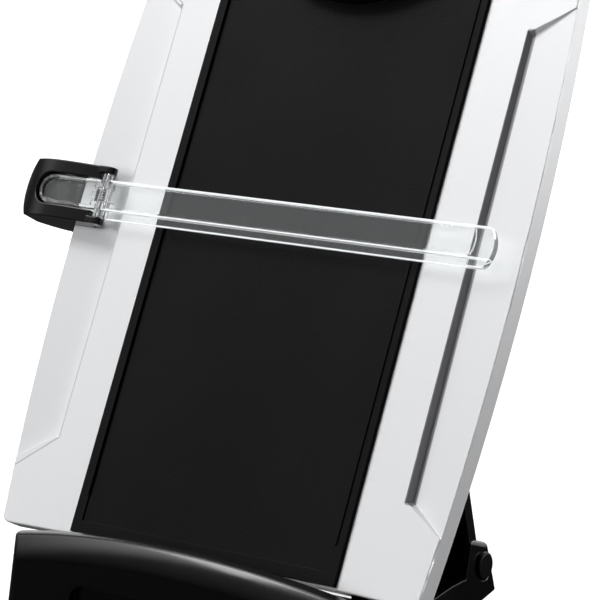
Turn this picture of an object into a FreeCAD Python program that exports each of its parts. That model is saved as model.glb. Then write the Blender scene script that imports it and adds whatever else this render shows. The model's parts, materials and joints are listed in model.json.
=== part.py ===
import FreeCAD, Part
import math
import os

import Sketcher

# A desk copy holder: a leaning board with silver wings and a black centre panel stands in a moulded
# base. A clear line guide crosses the board, hinged to a slider that runs up and down the left edge.
# A clip at the top holds the paper, and a leg behind the board sets how far it leans.
# Millimetres, +Z up, the viewer in front at -Y, the origin on the desk under the middle of the base.

SIZES = {
    # base housing, its lip and ledge
    "base_depth": 160.0,
    "base_front_width": 199.6,
    "base_rear_width": 174.2,
    "base_front_bow": 7.0,
    "base_taper_depth": 118.0,
    "base_wall": 2.8,
    "overshoot": 3.0,
    "cheek_thickness": 3.8,
    "hollow_setback": 6.8,
    "floor_gap": 1.2,
    "lip_height": 48.5,
    "lip_thickness": 4.0,
    "lip_bow": 12.3,
    "lip_rounding": 1.8,
    "base_draft": 7.5,
    "ledge_floor": 32.6,
    "ledge_reach": 3.0,
    "ledge_step": 1.0,
    "deck_height": 28.4,
    "deck_depth": 31.0,
    "low_deck_height": 15.0,
    "deck_slope": 16.0,
    "front_corner_radius": 9.0,
    "rear_corner_radius": 5.0,
    # recess in the front face
    "recess_width": 110.0,
    "recess_height": 22.0,
    "recess_depth": 8.0,
    "recess_corner": 8.0,
    # rear block that carries the leg
    "block_depth": 29.0,
    "block_height": 30.6,
    "block_rear_height": 26.0,
    "block_crown": 5.0,
    "block_front_slope": 8.0,
    "block_corner": 3.0,
    "tail_lift": 2.6,
    "tail_length": 18.0,
    "leg_well_depth": 19.0,
    "leg_well_floor": 11.0,
    "leg_well_back_wall": 6.3,
    # bottom plate, feet and screws
    "plate_thickness": 2.0,
    "plate_clearance": 0.3,
    "foot_radius": 7.0,
    "foot_thickness": 2.0,
    "foot_rounding": 0.5,
    "foot_inset": 14.1,
    "screw_radius": 1.3,
    "screw_clearance": 0.06,
    "screw_head_radius": 2.6,
    "screw_head_height": 1.2,
    "screw_length": 9.0,
    "screw_bore_spare": 0.5,
    "screw_column_radius": 4.0,
    "screw_to_foot": 14.2,
    "base_screw_inset": 14.0,
    # board hinge at the base
    "board_setback": 31.86,
    "board_lift": 36.02,
    "board_lean": 27.67,
    "board_hinge_up": 8.0,
    "board_hinge_back": 7.5,
    "lug_inset": 6.0,
    "lug_width": 10.0,
    "lug_radius": 4.2,
    "lug_clearance": 0.5,
    "hinge_pin_radius": 2.0,
    "hinge_pin_length": 22.0,
    "running_clearance": 0.05,
    "end_clearance": 0.3,
    # board shell
    "board_length": 315.0,
    "board_end_width": 236.2,
    "board_bow": 7.75,
    "board_end_bow": 1.2,
    "board_thickness": 12.5,
    "board_wall": 2.4,
    "board_corner_radius": 4.0,
    "board_front_rounding": 0.8,
    "board_rear_rounding": 1.6,
    "sill_height": 17.0,
    "cavity_depth": 6.4,
    "wing_skin": 2.6,
    "boss_radius": 3.6,
    "boss_root": 1.5,
    # facets of the wings
    "facet_inset": 98.5,
    "facet_step_high": 2.9,
    "facet_step_low": 4.6,
    "facet_wall_run": 3.2,
    "facet_step_width": 1.9,
    "facet_bottom": 44.0,
    "facet_top": 271.0,
    "facet_diagonal": 16.0,
    "facet_margin": 0.6,
    # centre panel
    "panel_width": 150.0,
    "panel_fit": 0.2,
    "panel_seat": 1.6,
    "panel_thickness": 3.7,
    "panel_field_depth": 0.8,
    "panel_field_margin": 6.0,
    "panel_end_gap": 0.8,
    "bead_offset": 70.5,
    "bead_width": 1.4,
    "bead_rise": 0.7,
    "bead_rounding": 0.5,
    "bead_margin": 19.5,
    # back cover
    "cover_thickness": 2.2,
    "cover_fit": 0.3,
    "cover_recess": 0.2,
    "cover_field_depth": 0.6,
    "cover_field_inner": 61.0,
    "cover_field_outer": 90.0,
    "cover_field_margin": 34.0,
    "cover_field_corner": 9.0,
    "cover_screw_spread": 97.0,
    "cover_screw_margin": 36.0,
    "cover_screw_bore": 5.4,
    # angle racks and leg
    "rack_spread": 45.0,
    "rack_width": 16.0,
    "rack_height": 2.7,
    "notch_pitch": 6.7,
    "notch_depth": 1.5,
    "notch_land": 1.3,
    "leg_lean": 15.3,
    "leg_pivot_height": 17.0,
    "leg_pivot_inset": 12.0,
    "leg_pin_radius": 2.5,
    "leg_pin_length": 10.0,
    "pivot_cap_radius": 7.0,
    "pivot_cap_thickness": 2.6,
    "pivot_cap_seat": 1.0,
    "leg_side_clearance": 0.4,
    "leg_barrel_radius": 5.0,
    "leg_top_width": 128.0,
    "leg_straight": 76.0,
    "leg_rim": 6.0,
    "leg_relief": 3.4,
    "leg_window_width": 84.0,
    "leg_window_bottom": 36.0,
    "leg_window_margin": 28.0,
    "leg_window_corner": 9.0,
    "leg_tip_radius": 3.2,
    "leg_core_radius": 2.0,
    "leg_tip_length": 13.0,
    "leg_tip_gap": 0.85,
    "leg_tip_clearance": 0.8,
    # rail and carriage of the line guide
    "guide_height": 165.0,
    "rail_offset": 108.0,
    "rail_foot_width": 6.0,
    "rail_head_width": 9.0,
    "rail_height": 3.2,
    "rail_bottom": 36.0,
    "rail_length": 232.0,
    "rail_screw_margin": 10.0,
    "rail_screw_sink": 0.3,
    "carriage_width": 29.6,
    "carriage_reach": 156.5,
    "carriage_arm_end": 111.6,
    "carriage_tip_bow": 5.0,
    "carriage_tip_height": 6.6,
    "carriage_crown": 12.3,
    "carriage_crown_offset": 138.0,
    "carriage_arm_height": 9.3,
    "carriage_lift": 0.6,
    "carriage_belly_radius": 36.0,
    "carriage_top_radius": 110.0,
    "carriage_tip_radius": 34.0,
    "wrap_clearance": 0.85,
    "wrap_thickness": 12.4,
    "wrap_gap": 0.6,
    "tab_well_end": 147.2,
    "tab_well_width": 16.6,
    "web_outer": 143.3,
    "web_inner": 131.2,
    "web_level": 3.0,
    "web_ledge": 0.6,
    "web_half_width": 6.3,
    "ear_radius": 3.2,
    "ear_length": 3.4,
    "ear_root": 1.0,
    "shoe_thickness": 4.3,
    "shoe_inner_end": 100.5,
    "shoe_chamfer": 1.8,
    "shoe_corner": 2.0,
    "shoe_rail_clearance": 0.3,
    "friction_pad_length": 14.0,
    "friction_pad_width": 6.0,
    "friction_pad_thickness": 0.8,
    "friction_pad_gap": 0.1,
    "friction_pad_offset": 118.5,
    "carriage_screw_spread": 6.5,
    "carriage_screw_bore": 8.0,
    # line guide
    "guide_hinge_offset": 107.5,
    "guide_hinge_height": 6.7,
    "guide_pin_radius": 1.25,
    "guide_barrel_radius": 3.0,
    "guide_end": 115.7,
    "guide_end_bow": 3.6,
    "guide_width": 15.5,
    "guide_flange": 4.0,
    "guide_flange_start": 101.5,
    "guide_end_pad": 8.0,
    "guide_barrel_width": 22.2,
    "guide_corner": 2.6,
    "guide_underside": 6.5,
    "guide_floor": 1.4,
    "guide_depth": 3.8,
    "guide_rim": 1.5,
    "guide_start": 108.6,
    "guide_root": 7.0,
    "tab_end": 145.2,
    "tab_width": 14.6,
    "tab_floor": 1.8,
    "tab_depth": 3.9,
    "spring_gap_width": 7.0,
    "spring_gap_margin": 0.6,
    "guide_spring_length": 5.2,
    "spring_wire_radius": 0.35,
    "spring_coil_radius": 2.1,
    "spring_leg_length": 9.0,
    # clip at the top
    "clip_hinge_up": 302.0,
    "clip_hinge_height": 8.0,
    "clip_pin_radius": 1.5,
    "clip_pin_length": 46.0,
    "clip_ear_radius": 3.4,
    "clip_ear_width": 3.4,
    "clip_ear_spread": 21.0,
    "clip_foot_width": 11.6,
    "clip_foot_length": 62.0,
    "clip_foot_thickness": 1.8,
    "clip_foot_corner": 2.0,
    "clip_screw_spread": 27.0,
    "clip_screw_bore": 5.6,
    "clip_jaw_drop": 26.0,
    "clip_jaw_width": 92.0,
    "clip_jaw_end_margin": 6.0,
    "clip_jaw_bow": 16.6,
    "clip_top_width": 56.0,
    "clip_top_rise": 30.0,
    "clip_top_corner": 8.0,
    "clip_plate_thickness": 3.0,
    "clip_plate_rounding": 1.4,
    "clip_plate_lift": 6.5,
    "clip_barrel_radius": 3.2,
    "clip_barrel_inner": 6.4,
    "clip_slot_clearance": 0.6,
    "clip_jaw_lip": 5.0,
    "clip_pad_thickness": 1.6,
    "clip_pad_gap": 0.3,
    "clip_spring_wire": 0.55,
    "clip_spring_radius": 2.8,
    "clip_spring_length": 10.0,
    "clip_spring_leg": 9.0,
}

NOTCH_COUNT = 5
SPRING_TURNS = 4
CLIP_SPRING_TURNS = 7
RIGHT_ANGLE = 90

doc = FreeCAD.newDocument("CopyHolder")
sheet = doc.addObject("Spreadsheet::Sheet", "Sizes")
for row, (alias, number) in enumerate(SIZES.items(), start=1):
    sheet.set(f"A{row}", alias)
    sheet.set(f"B{row}", str(number))
    sheet.setAlias(f"B{row}", alias)
doc.recompute()


class Size:
    """A size with its number and the expression that ties it to the sheet."""

    def __init__(self, value, text):
        self.value = value
        self.text = text

    def __add__(self, other):
        other = as_size(other)
        return Size(self.value + other.value, f"({self.text} + {other.text})")

    def __sub__(self, other):
        other = as_size(other)
        return Size(self.value - other.value, f"({self.text} - {other.text})")

    def __mul__(self, other):
        other = as_size(other)
        return Size(self.value * other.value, f"({self.text} * {other.text})")

    def __truediv__(self, other):
        other = as_size(other)
        return Size(self.value / other.value, f"({self.text} / {other.text})")

    def __neg__(self):
        return Size(-self.value, f"(0 - {self.text})")

    def __radd__(self, other):
        return as_size(other) + self

    def __rsub__(self, other):
        return as_size(other) - self

    def __rmul__(self, other):
        return as_size(other) * self


def as_size(number):
    return number if isinstance(number, Size) else Size(float(number), f"({float(number)!r})")


def dim(alias):
    return Size(SIZES[alias], f"Sizes.{alias}")


def sine(angle):
    return Size(math.sin(math.radians(angle.value)), f"sin({angle.text})")


def cosine(angle):
    return Size(math.cos(math.radians(angle.value)), f"cos({angle.text})")


def root(number):
    return Size(math.sqrt(number.value), f"sqrt({number.text})")


def bow_radius(chord, bow):
    """Radius of the arc that bulges by bow over a chord."""
    return (chord * chord / 4 + bow * bow) / (bow * 2)


def drive(thing, path, size):
    """Set a property from the sheet."""
    thing.setExpression(path, as_size(size).text)


# ---- document helpers ----

def new_body(label):
    body = doc.addObject("PartDesign::Body", label)
    body.Label = label
    return body


def sketch_on(body, role, name, lift=0):
    """A sketch on one of the body's own origin planes, lifted along its normal."""
    sketch = body.newObject("Sketcher::SketchObject", f"{body.Label}_{name}")
    plane = next(item for item in body.Origin.OriginFeatures if item.Role == role)
    sketch.AttachmentSupport = [(plane, "")]
    sketch.MapMode = "FlatFace"
    drive(sketch, "AttachmentOffset.Base.z", lift)
    return sketch


def constrain(sketch, kind, *targets, size=None):
    if size is None:
        sketch.addConstraint(Sketcher.Constraint(kind, *targets))
        return
    index = sketch.addConstraint(Sketcher.Constraint(kind, *targets, size.value))
    sketch.setExpression(f"Constraints[{index}]", size.text)


def arc_between(start, end, radius):
    """Arc from start to end; a positive radius bulges to the right of the way along."""
    dx = end[0] - start[0]
    dy = end[1] - start[1]
    chord = math.hypot(dx, dy)
    reach = math.sqrt(max(radius * radius - chord * chord / 4, 0.0))
    side = 1.0 if radius > 0 else -1.0
    centre = FreeCAD.Vector((start[0] + end[0]) / 2 - side * dy / chord * reach,
                            (start[1] + end[1]) / 2 + side * dx / chord * reach, 0)
    first, last = (start, end) if radius > 0 else (end, start)
    begin = math.atan2(first[1] - centre.y, first[0] - centre.x)
    finish = math.atan2(last[1] - centre.y, last[0] - centre.x)
    if finish < begin:
        finish += 2 * math.pi
    circle = Part.Circle(centre, FreeCAD.Vector(0, 0, 1), abs(radius))
    return Part.ArcOfCircle(circle, begin, finish)


def outline(sketch, corners):
    """Draw a closed outline through corners (x, y), or (x, y, radius) where an arc leaves the corner."""
    places = [(as_size(corner[0]), as_size(corner[1])) for corner in corners]
    radii = [as_size(corner[2]) if len(corner) == 3 else None for corner in corners]
    ends = []
    for number, place in enumerate(places):
        following = places[(number + 1) % len(places)]
        start = (place[0].value, place[1].value)
        end = (following[0].value, following[1].value)
        radius = radii[number]
        if radius is None:
            geometry = Part.LineSegment(FreeCAD.Vector(*start, 0), FreeCAD.Vector(*end, 0))
        else:
            geometry = arc_between(start, end, radius.value)
        index = sketch.addGeometry(geometry, False)
        backwards = radius is not None and radius.value < 0
        ends.append((index, 2, 1) if backwards else (index, 1, 2))
    for number, (index, first, last) in enumerate(ends):
        other, other_first, _ = ends[(number + 1) % len(ends)]
        constrain(sketch, "Coincident", index, last, other, other_first)
        constrain(sketch, "DistanceX", -1, 1, index, first, size=places[number][0])
        constrain(sketch, "DistanceY", -1, 1, index, first, size=places[number][1])
        if radii[number] is not None:
            magnitude = radii[number] if radii[number].value > 0 else -radii[number]
            constrain(sketch, "Radius", index, size=magnitude)


def circle(sketch, x, y, radius):
    x, y, radius = as_size(x), as_size(y), as_size(radius)
    centre = FreeCAD.Vector(x.value, y.value, 0)
    index = sketch.addGeometry(Part.Circle(centre, FreeCAD.Vector(0, 0, 1), radius.value), False)
    constrain(sketch, "DistanceX", -1, 1, index, 3, size=x)
    constrain(sketch, "DistanceY", -1, 1, index, 3, size=y)
    constrain(sketch, "Radius", index, size=radius)


def rectangle(sketch, left, bottom, right, top):
    outline(sketch, [(left, bottom), (right, bottom), (right, top), (left, top)])


def rounded_rectangle(sketch, left, bottom, right, top, radius):
    left, bottom, right, top = (as_size(edge) for edge in (left, bottom, right, top))
    outline(sketch, [
        (left + radius, bottom), (right - radius, bottom, radius),
        (right, bottom + radius), (right, top - radius, radius),
        (right - radius, top), (left + radius, top, radius),
        (left, top - radius), (left, bottom + radius, radius),
    ])


def extrude(body, kind, sketch, length, symmetric=False, reverse=False):
    feature = body.newObject(f"PartDesign::{kind}", f"{sketch.Label}_{kind.lower()}")
    feature.Profile = sketch
    drive(feature, "Length", length)
    feature.Reversed = reverse
    feature.SideType = "Symmetric" if symmetric else "One side"
    sketch.Visibility = False
    return feature


def pad(body, sketch, length, **options):
    return extrude(body, "Pad", sketch, length, **options)


def pocket(body, sketch, length, **options):
    return extrude(body, "Pocket", sketch, length, **options)


def mirror(body, features, role):
    feature = body.newObject("PartDesign::Mirrored", f"{features[-1].Label}_mirrored")
    feature.Originals = features
    plane = next(item for item in body.Origin.OriginFeatures if item.Role == role)
    feature.MirrorPlane = (plane, [""])
    body.Tip = feature
    return feature


def edges_where(feature, test):
    """Names of the feature's edges whose box passes the test."""
    doc.recompute()
    names = []
    for number, edge in enumerate(feature.Shape.Edges, start=1):
        if test(edge.BoundBox):
            names.append(f"Edge{number}")
    if not names:
        raise ValueError(f"no edge to round on {feature.Label}")
    return names


def dress(body, kind, base, names, path, size):
    feature = body.newObject(f"PartDesign::{kind}", f"{base.Label}_{kind.lower()}")
    feature.Base = (base, names)
    drive(feature, path, size)
    body.Tip = feature
    return feature


def fillet(body, base, names, radius):
    return dress(body, "Fillet", base, names, "Radius", radius)


def near(value, target, slack=0.05):
    return abs(value - target) < slack


# ---- shared places ----

board_y = dim("board_setback") - dim("base_depth") / 2
lean = dim("board_lean")
up_y, up_z = sine(lean), cosine(lean)
hinge_y = board_y + dim("board_hinge_up") * up_y + dim("board_hinge_back") * up_z
hinge_z = dim("board_lift") + dim("board_hinge_up") * up_z - dim("board_hinge_back") * up_y
rear_y = dim("base_depth") / 2
front_y = -rear_y
draft = sine(dim("base_draft")) / cosine(dim("base_draft"))
lip_front = front_y + (dim("lip_height") - dim("floor_gap")) * draft
deck_front = board_y + dim("ledge_reach")
deck_end = deck_front + dim("deck_depth")
block_front = rear_y - dim("block_depth")
hollow_front = front_y + dim("base_front_bow") + dim("hollow_setback")
hollow_rear = block_front - dim("base_wall")
pivot_y = rear_y - dim("leg_pivot_inset")
pivot_z = dim("leg_pivot_height")
cheek_face = dim("base_rear_width") / 2 - (pivot_z - dim("floor_gap")) * draft
leg_well_half = cheek_face - dim("cheek_thickness")
leg_half = leg_well_half - dim("leg_side_clearance")
cover_back = dim("board_thickness") - dim("cover_recess")
cover_front = cover_back - dim("cover_thickness")
rack_crest = cover_back + dim("rack_height")
side_bow = bow_radius(dim("board_length"), dim("board_bow"))
end_bow = bow_radius(dim("board_end_width"), dim("board_end_bow"))
apex_half_width = dim("board_end_width") / 2 + dim("board_bow")
panel_field = dim("panel_thickness") - dim("panel_seat") - dim("panel_field_depth")
wrap_inner = -(apex_half_width + dim("wrap_clearance"))
wrap_outer = wrap_inner - dim("wrap_thickness")
wrap_floor = dim("board_thickness") + dim("wrap_gap")
friction_pad_bottom = -(dim("board_thickness") + dim("friction_pad_gap") + dim("friction_pad_thickness"))
clip_jaw_level = panel_field + dim("clip_pad_gap") + dim("clip_pad_thickness")
jaw_radius = bow_radius(dim("clip_jaw_width"), dim("clip_jaw_bow"))
jaw_half_chord = dim("clip_jaw_width") / 2 - dim("clip_jaw_end_margin")


def base_half_width(y, level):
    """Half the base's width at a height, where its sides taper from the front to the rear and upwards."""
    half_front = dim("base_front_width") / 2
    half_rear = dim("base_rear_width") / 2
    corner = front_y + dim("base_front_bow")
    run = dim("base_taper_depth") - dim("base_front_bow")
    return half_front - (half_front - half_rear) * (y - corner) / run - (level - dim("floor_gap")) * draft


hinge_spread = base_half_width(hinge_y, hinge_z) - dim("lug_inset")
foot_spread = dim("base_rear_width") / 2 - dim("base_wall") - dim("foot_inset")

# The leg's tip stands on the racks' crests: its length and the racks' place follow from the lean.
tip_drop = rack_crest - dim("board_hinge_back") + dim("leg_tip_radius") + dim("leg_tip_gap")
spread_y = pivot_y - hinge_y
spread_z = pivot_z - hinge_z
leg_length = (spread_y * up_z - spread_z * up_y - tip_drop) / sine(dim("leg_lean") + lean)
tip_y = spread_y - leg_length * sine(dim("leg_lean"))
tip_z = spread_z + leg_length * cosine(dim("leg_lean"))
rack_up = dim("board_hinge_up") + tip_y * up_y + tip_z * up_z


def place_on_board(body, across=0, up=0, out=0):
    """Put a body's origin on the board: across it, up it and out of its front plane."""
    across, up, out = as_size(across), as_size(up), as_size(out)
    body.Placement = FreeCAD.Placement(FreeCAD.Vector(), FreeCAD.Rotation(FreeCAD.Vector(1, 0, 0), 60))
    drive(body, "Placement.Base.x", across)
    drive(body, "Placement.Base.y", board_y + up * up_y - out * up_z)
    drive(body, "Placement.Base.z", dim("board_lift") + up * up_z + out * up_y)
    drive(body, "Placement.Rotation.Angle", RIGHT_ANGLE - lean)


# ---- base ----

def base_inner_plan(sketch, rear, level, clearance=0):
    """The base's plan inside its walls at a height, from behind the front wall to a rear line."""
    clearance = as_size(clearance)
    wall = dim("base_wall") + clearance
    front = hollow_front + clearance
    back = as_size(rear) - clearance
    taper_end = front_y + dim("base_taper_depth")
    front_half = base_half_width(front, level) - wall
    if back.value > taper_end.value:
        rear_half = base_half_width(taper_end, level) - wall
        outline(sketch, [
            (-front_half, front), (front_half, front), (rear_half, taper_end), (rear_half, back),
            (-rear_half, back), (-rear_half, taper_end),
        ])
    else:
        rear_half = base_half_width(back, level) - wall
        outline(sketch, [(-front_half, front), (front_half, front), (rear_half, back), (-rear_half, back)])


def make_base_housing():
    body = new_body("base_housing")
    half_front = dim("base_front_width") / 2
    half_rear = dim("base_rear_width") / 2
    corner_y = front_y + dim("base_front_bow")
    taper_end = front_y + dim("base_taper_depth")
    bow = bow_radius(dim("base_front_width"), dim("base_front_bow"))
    height = dim("lip_height") - dim("floor_gap")
    over = dim("overshoot")
    wall = dim("base_wall")

    plan = sketch_on(body, "XY_Plane", "plan", lift=dim("floor_gap"))
    radius = dim("front_corner_radius")
    corner_line = corner_y - radius * dim("base_front_bow") * 2 / half_front
    side_line = corner_y + radius
    side = base_half_width(side_line, dim("floor_gap"))
    outline(plan, [
        (radius - half_front, corner_line, bow), (half_front - radius, corner_line, radius),
        (side, side_line), (half_rear, taper_end), (half_rear, rear_y),
        (-half_rear, rear_y), (-half_rear, taper_end), (-side, side_line, radius),
    ])
    block = pad(body, plan, height)
    drive(block, "TaperAngle", dim("base_draft") * -1)
    corners = edges_where(block, lambda box: box.ZLength > 10 and box.Center.y > taper_end.value + 1)
    fillet(body, block, corners, dim("rear_corner_radius"))

    # behind the lip everything above the ledge goes
    lip_back = lip_front + dim("lip_thickness")
    trough = sketch_on(body, "XY_Plane", "trough", lift=dim("ledge_floor"))
    outline(trough, [
        (-half_front, lip_back + dim("base_front_bow"), bow), (half_front, lip_back + dim("base_front_bow")),
        (half_front + over, lip_back + dim("base_front_bow")), (half_front + over, deck_front),
        (-half_front - over, deck_front), (-half_front - over, lip_back + dim("base_front_bow")),
    ])
    pocket(body, trough, height, reverse=True)

    # the decks and the rear block, cut from the side
    crown = block_front + dim("block_front_slope")
    rear_top = rear_y - (dim("block_rear_height") - dim("floor_gap")) * draft
    beyond = rear_y + over
    profile = sketch_on(body, "YZ_Plane", "profile")
    outline(profile, [
        (deck_front - over, dim("lip_height") + over),
        (deck_front - dim("ledge_step"), dim("ledge_floor")),
        (deck_front, dim("deck_height")),
        (deck_end, dim("deck_height")),
        (deck_end + dim("deck_slope"), dim("low_deck_height")),
        (block_front, dim("low_deck_height")),
        (crown, dim("block_height")),
        (crown + dim("block_crown"), dim("block_height")),
        (rear_top, dim("block_rear_height")),
        (beyond, dim("block_rear_height")),
        (beyond, dim("lip_height") + over),
    ])
    stepped = pocket(body, profile, dim("base_front_width") + over, symmetric=True)
    rear_edge = edges_where(stepped, lambda box: box.XLength > 10 and near(box.YMin, rear_top.value)
                            and near(box.ZMax, dim("block_rear_height").value))
    fillet(body, stepped, rear_edge, dim("block_corner"))
    tail = sketch_on(body, "YZ_Plane", "tail")
    outline(tail, [
        (rear_y, dim("floor_gap") + dim("tail_lift")), (rear_y - dim("tail_length"), dim("floor_gap")),
        (rear_y - dim("tail_length"), -over), (beyond, -over),
        (beyond, dim("floor_gap") + dim("tail_lift")),
    ])
    pocket(body, tail, dim("base_front_width") + over, symmetric=True)

    arch = sketch_on(body, "XZ_Plane", "lip_arch", lift=over - front_y)
    ends = dim("lip_height") - dim("lip_bow")
    half_arch = half_front + over
    outline(arch, [
        (-half_arch, ends, -bow_radius(half_arch * 2, dim("lip_bow"))), (half_arch, ends),
        (half_arch, dim("lip_height") + over), (-half_arch, dim("lip_height") + over),
    ])
    arched = pocket(body, arch, board_y - front_y)
    lip_edge = edges_where(arched, lambda box: box.XLength > 10 and box.YMin < lip_front.value + 1
                           and box.ZMax > dim("lip_height").value - 1)
    fillet(body, arched, lip_edge, dim("lip_rounding"))

    recess = sketch_on(body, "XZ_Plane", "recess", lift=over - front_y)
    half_recess = dim("recess_width") / 2
    corner = dim("recess_corner")
    outline(recess, [
        (-half_recess, -over), (half_recess, -over), (half_recess, dim("recess_height") - corner, corner),
        (half_recess - corner, dim("recess_height")), (corner - half_recess, dim("recess_height"), corner),
        (-half_recess, dim("recess_height") - corner),
    ])
    pocket(body, recess, over + dim("recess_depth"))

    well = sketch_on(body, "XY_Plane", "leg_well", lift=dim("leg_well_floor"))
    well_back = rear_y - dim("leg_well_back_wall")
    rectangle(well, -leg_well_half, well_back - dim("leg_well_depth"), leg_well_half, well_back)
    pocket(body, well, dim("block_height"), reverse=True)

    low_hollow = sketch_on(body, "XY_Plane", "low_hollow")
    base_inner_plan(low_hollow, hollow_rear, dim("low_deck_height"))
    pocket(body, low_hollow, dim("low_deck_height") - wall, reverse=True)
    high_hollow = sketch_on(body, "XY_Plane", "high_hollow")
    base_inner_plan(high_hollow, deck_end - wall, dim("deck_height"))
    pocket(body, high_hollow, dim("deck_height") - wall, reverse=True)

    plate_top = dim("floor_gap") + dim("plate_thickness")
    front_line, rear_line = base_screw_lines()
    for name, line, ceiling in (("front", front_line, dim("deck_height")),
                                ("rear", rear_line, dim("low_deck_height"))):
        columns = sketch_on(body, "XY_Plane", f"{name}_columns", lift=plate_top)
        for side in (-1, 1):
            circle(columns, (foot_spread - dim("screw_to_foot")) * side, line, dim("screw_column_radius"))
        pad(body, columns, ceiling - wall / 2 - plate_top)
    bores = sketch_on(body, "XY_Plane", "screw_bores")
    for x, y in base_screw_places():
        circle(bores, x, y, dim("screw_radius") + dim("screw_clearance"))
    pocket(body, bores, dim("floor_gap") + dim("screw_head_height") + dim("screw_length")
           + dim("screw_bore_spare"), reverse=True)

    lugs = sketch_on(body, "YZ_Plane", "lug", lift=hinge_spread)
    radius = dim("lug_radius")
    outline(lugs, [
        (hinge_y - radius, dim("deck_height") - wall / 2), (hinge_y + radius, dim("deck_height") - wall / 2),
        (hinge_y + radius, hinge_z, radius), (hinge_y, hinge_z + radius, radius),
        (hinge_y - radius, hinge_z),
    ])
    lug = pad(body, lugs, dim("lug_width"), symmetric=True)
    mirror(body, [lug], "YZ_Plane")

    pin_bores = sketch_on(body, "YZ_Plane", "pin_bores")
    circle(pin_bores, hinge_y, hinge_z, dim("hinge_pin_radius"))
    circle(pin_bores, pivot_y, pivot_z, dim("leg_pin_radius"))
    pocket(body, pin_bores, dim("base_front_width") + over, symmetric=True)
    cap_seats = sketch_on(body, "YZ_Plane", "cap_seats", lift=cheek_face - dim("pivot_cap_seat"))
    circle(cap_seats, pivot_y, pivot_z, dim("pivot_cap_radius"))
    seat = pocket(body, cap_seats, dim("pivot_cap_thickness") + over, reverse=True)
    mirror(body, [seat], "YZ_Plane")
    return body


def base_screw_lines():
    return hollow_front + dim("base_screw_inset"), hollow_rear - dim("base_screw_inset")


def base_screw_places():
    return [((foot_spread - dim("screw_to_foot")) * side, line) for side in (-1, 1) for line in base_screw_lines()]


def foot_places():
    inset = dim("foot_inset")
    return [(foot_spread * side, line) for side in (-1, 1) for line in (hollow_front + inset, hollow_rear - inset)]


def make_base_bottom_plate():
    body = new_body("base_bottom_plate")
    plan = sketch_on(body, "XY_Plane", "plan", lift=dim("floor_gap"))
    base_inner_plan(plan, hollow_rear, dim("low_deck_height"), clearance=dim("plate_clearance"))
    pad(body, plan, dim("plate_thickness"))

    heads = sketch_on(body, "XY_Plane", "heads", lift=dim("floor_gap"))
    holes = sketch_on(body, "XY_Plane", "holes", lift=dim("floor_gap"))
    for x, y in base_screw_places():
        circle(heads, x, y, dim("screw_head_radius") + dim("screw_clearance") * 2)
        circle(holes, x, y, dim("screw_radius") + dim("screw_clearance"))
    pocket(body, heads, dim("screw_head_height"), reverse=True)
    pocket(body, holes, dim("plate_thickness") + dim("overshoot"), reverse=True)

    seats = sketch_on(body, "XY_Plane", "foot_seats", lift=dim("floor_gap"))
    for x, y in foot_places():
        circle(seats, x, y, dim("foot_radius"))
    pocket(body, seats, dim("foot_thickness") - dim("floor_gap"), reverse=True)
    return body


def make_rubber_feet():
    body = new_body("rubber_feet")
    discs = sketch_on(body, "XY_Plane", "discs")
    for x, y in foot_places():
        circle(discs, x, y, dim("foot_radius"))
    feet = pad(body, discs, dim("foot_thickness"))
    rims = edges_where(feet, lambda box: near(box.ZMax, 0))
    fillet(body, feet, rims, dim("foot_rounding"))
    return body


def add_screws(body, places, start, length):
    """Screws that enter along the body's Z: each head starts at a height and its shank goes on above it."""
    heads = sketch_on(body, "XY_Plane", "heads", lift=start)
    shanks = sketch_on(body, "XY_Plane", "shanks", lift=start)
    for x, y in places:
        circle(heads, x, y, dim("screw_head_radius"))
        circle(shanks, x, y, dim("screw_radius"))
    pad(body, heads, dim("screw_head_height"))
    pad(body, shanks, dim("screw_head_height") + length)


def make_base_screws():
    body = new_body("base_screws")
    add_screws(body, base_screw_places(), dim("floor_gap"), dim("screw_length"))
    return body


def make_board_hinge_pins():
    body = new_body("board_hinge_pins")
    section = sketch_on(body, "YZ_Plane", "section", lift=hinge_spread)
    circle(section, hinge_y, hinge_z, dim("hinge_pin_radius"))
    pin = pad(body, section, dim("hinge_pin_length"), symmetric=True)
    mirror(body, [pin], "YZ_Plane")
    return body


def make_leg_pivot_pins():
    body = new_body("leg_pivot_pins")
    outer = cheek_face - dim("pivot_cap_seat")
    shaft = sketch_on(body, "YZ_Plane", "shaft", lift=outer)
    circle(shaft, pivot_y, pivot_z, dim("leg_pin_radius"))
    shank = pad(body, shaft, dim("leg_pin_length"), reverse=True)
    disc = sketch_on(body, "YZ_Plane", "cap", lift=outer)
    circle(disc, pivot_y, pivot_z, dim("pivot_cap_radius"))
    cap = pad(body, disc, dim("pivot_cap_thickness"))
    both = mirror(body, [shank, cap], "YZ_Plane")
    face = outer.value + dim("pivot_cap_thickness").value
    rims = edges_where(both, lambda box: near(box.XLength, 0) and near(abs(box.Center.x), face))
    fillet(body, both, rims, dim("pivot_cap_thickness") / 2)
    return body


# ---- board ----

def bowed_half_width(v, inset=0):
    """Half the board's width at a height on it, drawn in by inset."""
    reach = side_bow - inset
    rise = as_size(v) - dim("board_length") / 2
    return root(reach * reach - rise * rise) - side_bow + apex_half_width


def board_outline(sketch, inset=0, bottom=None):
    """The board's bowed outline, drawn in by inset; bottom gives a straight lower edge at that height."""
    inset = as_size(inset)
    low = inset - dim("board_end_bow") if bottom is None else as_size(bottom)
    high = dim("board_length") - dim("board_end_bow") - inset
    low_half = bowed_half_width(low, inset)
    high_half = bowed_half_width(high, inset)
    foot = (-low_half, low, -end_bow) if bottom is None else (-low_half, low)
    outline(sketch, [
        foot, (low_half, low, side_bow - inset), (high_half, high, end_bow),
        (-high_half, high, side_bow - inset),
    ])


def cover_screw_places():
    margin = dim("cover_screw_margin")
    levels = (margin, dim("board_length") / 2, dim("board_length") - margin)
    return [(dim("cover_screw_spread") * side, level) for side in (-1, 1) for level in levels]


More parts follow.
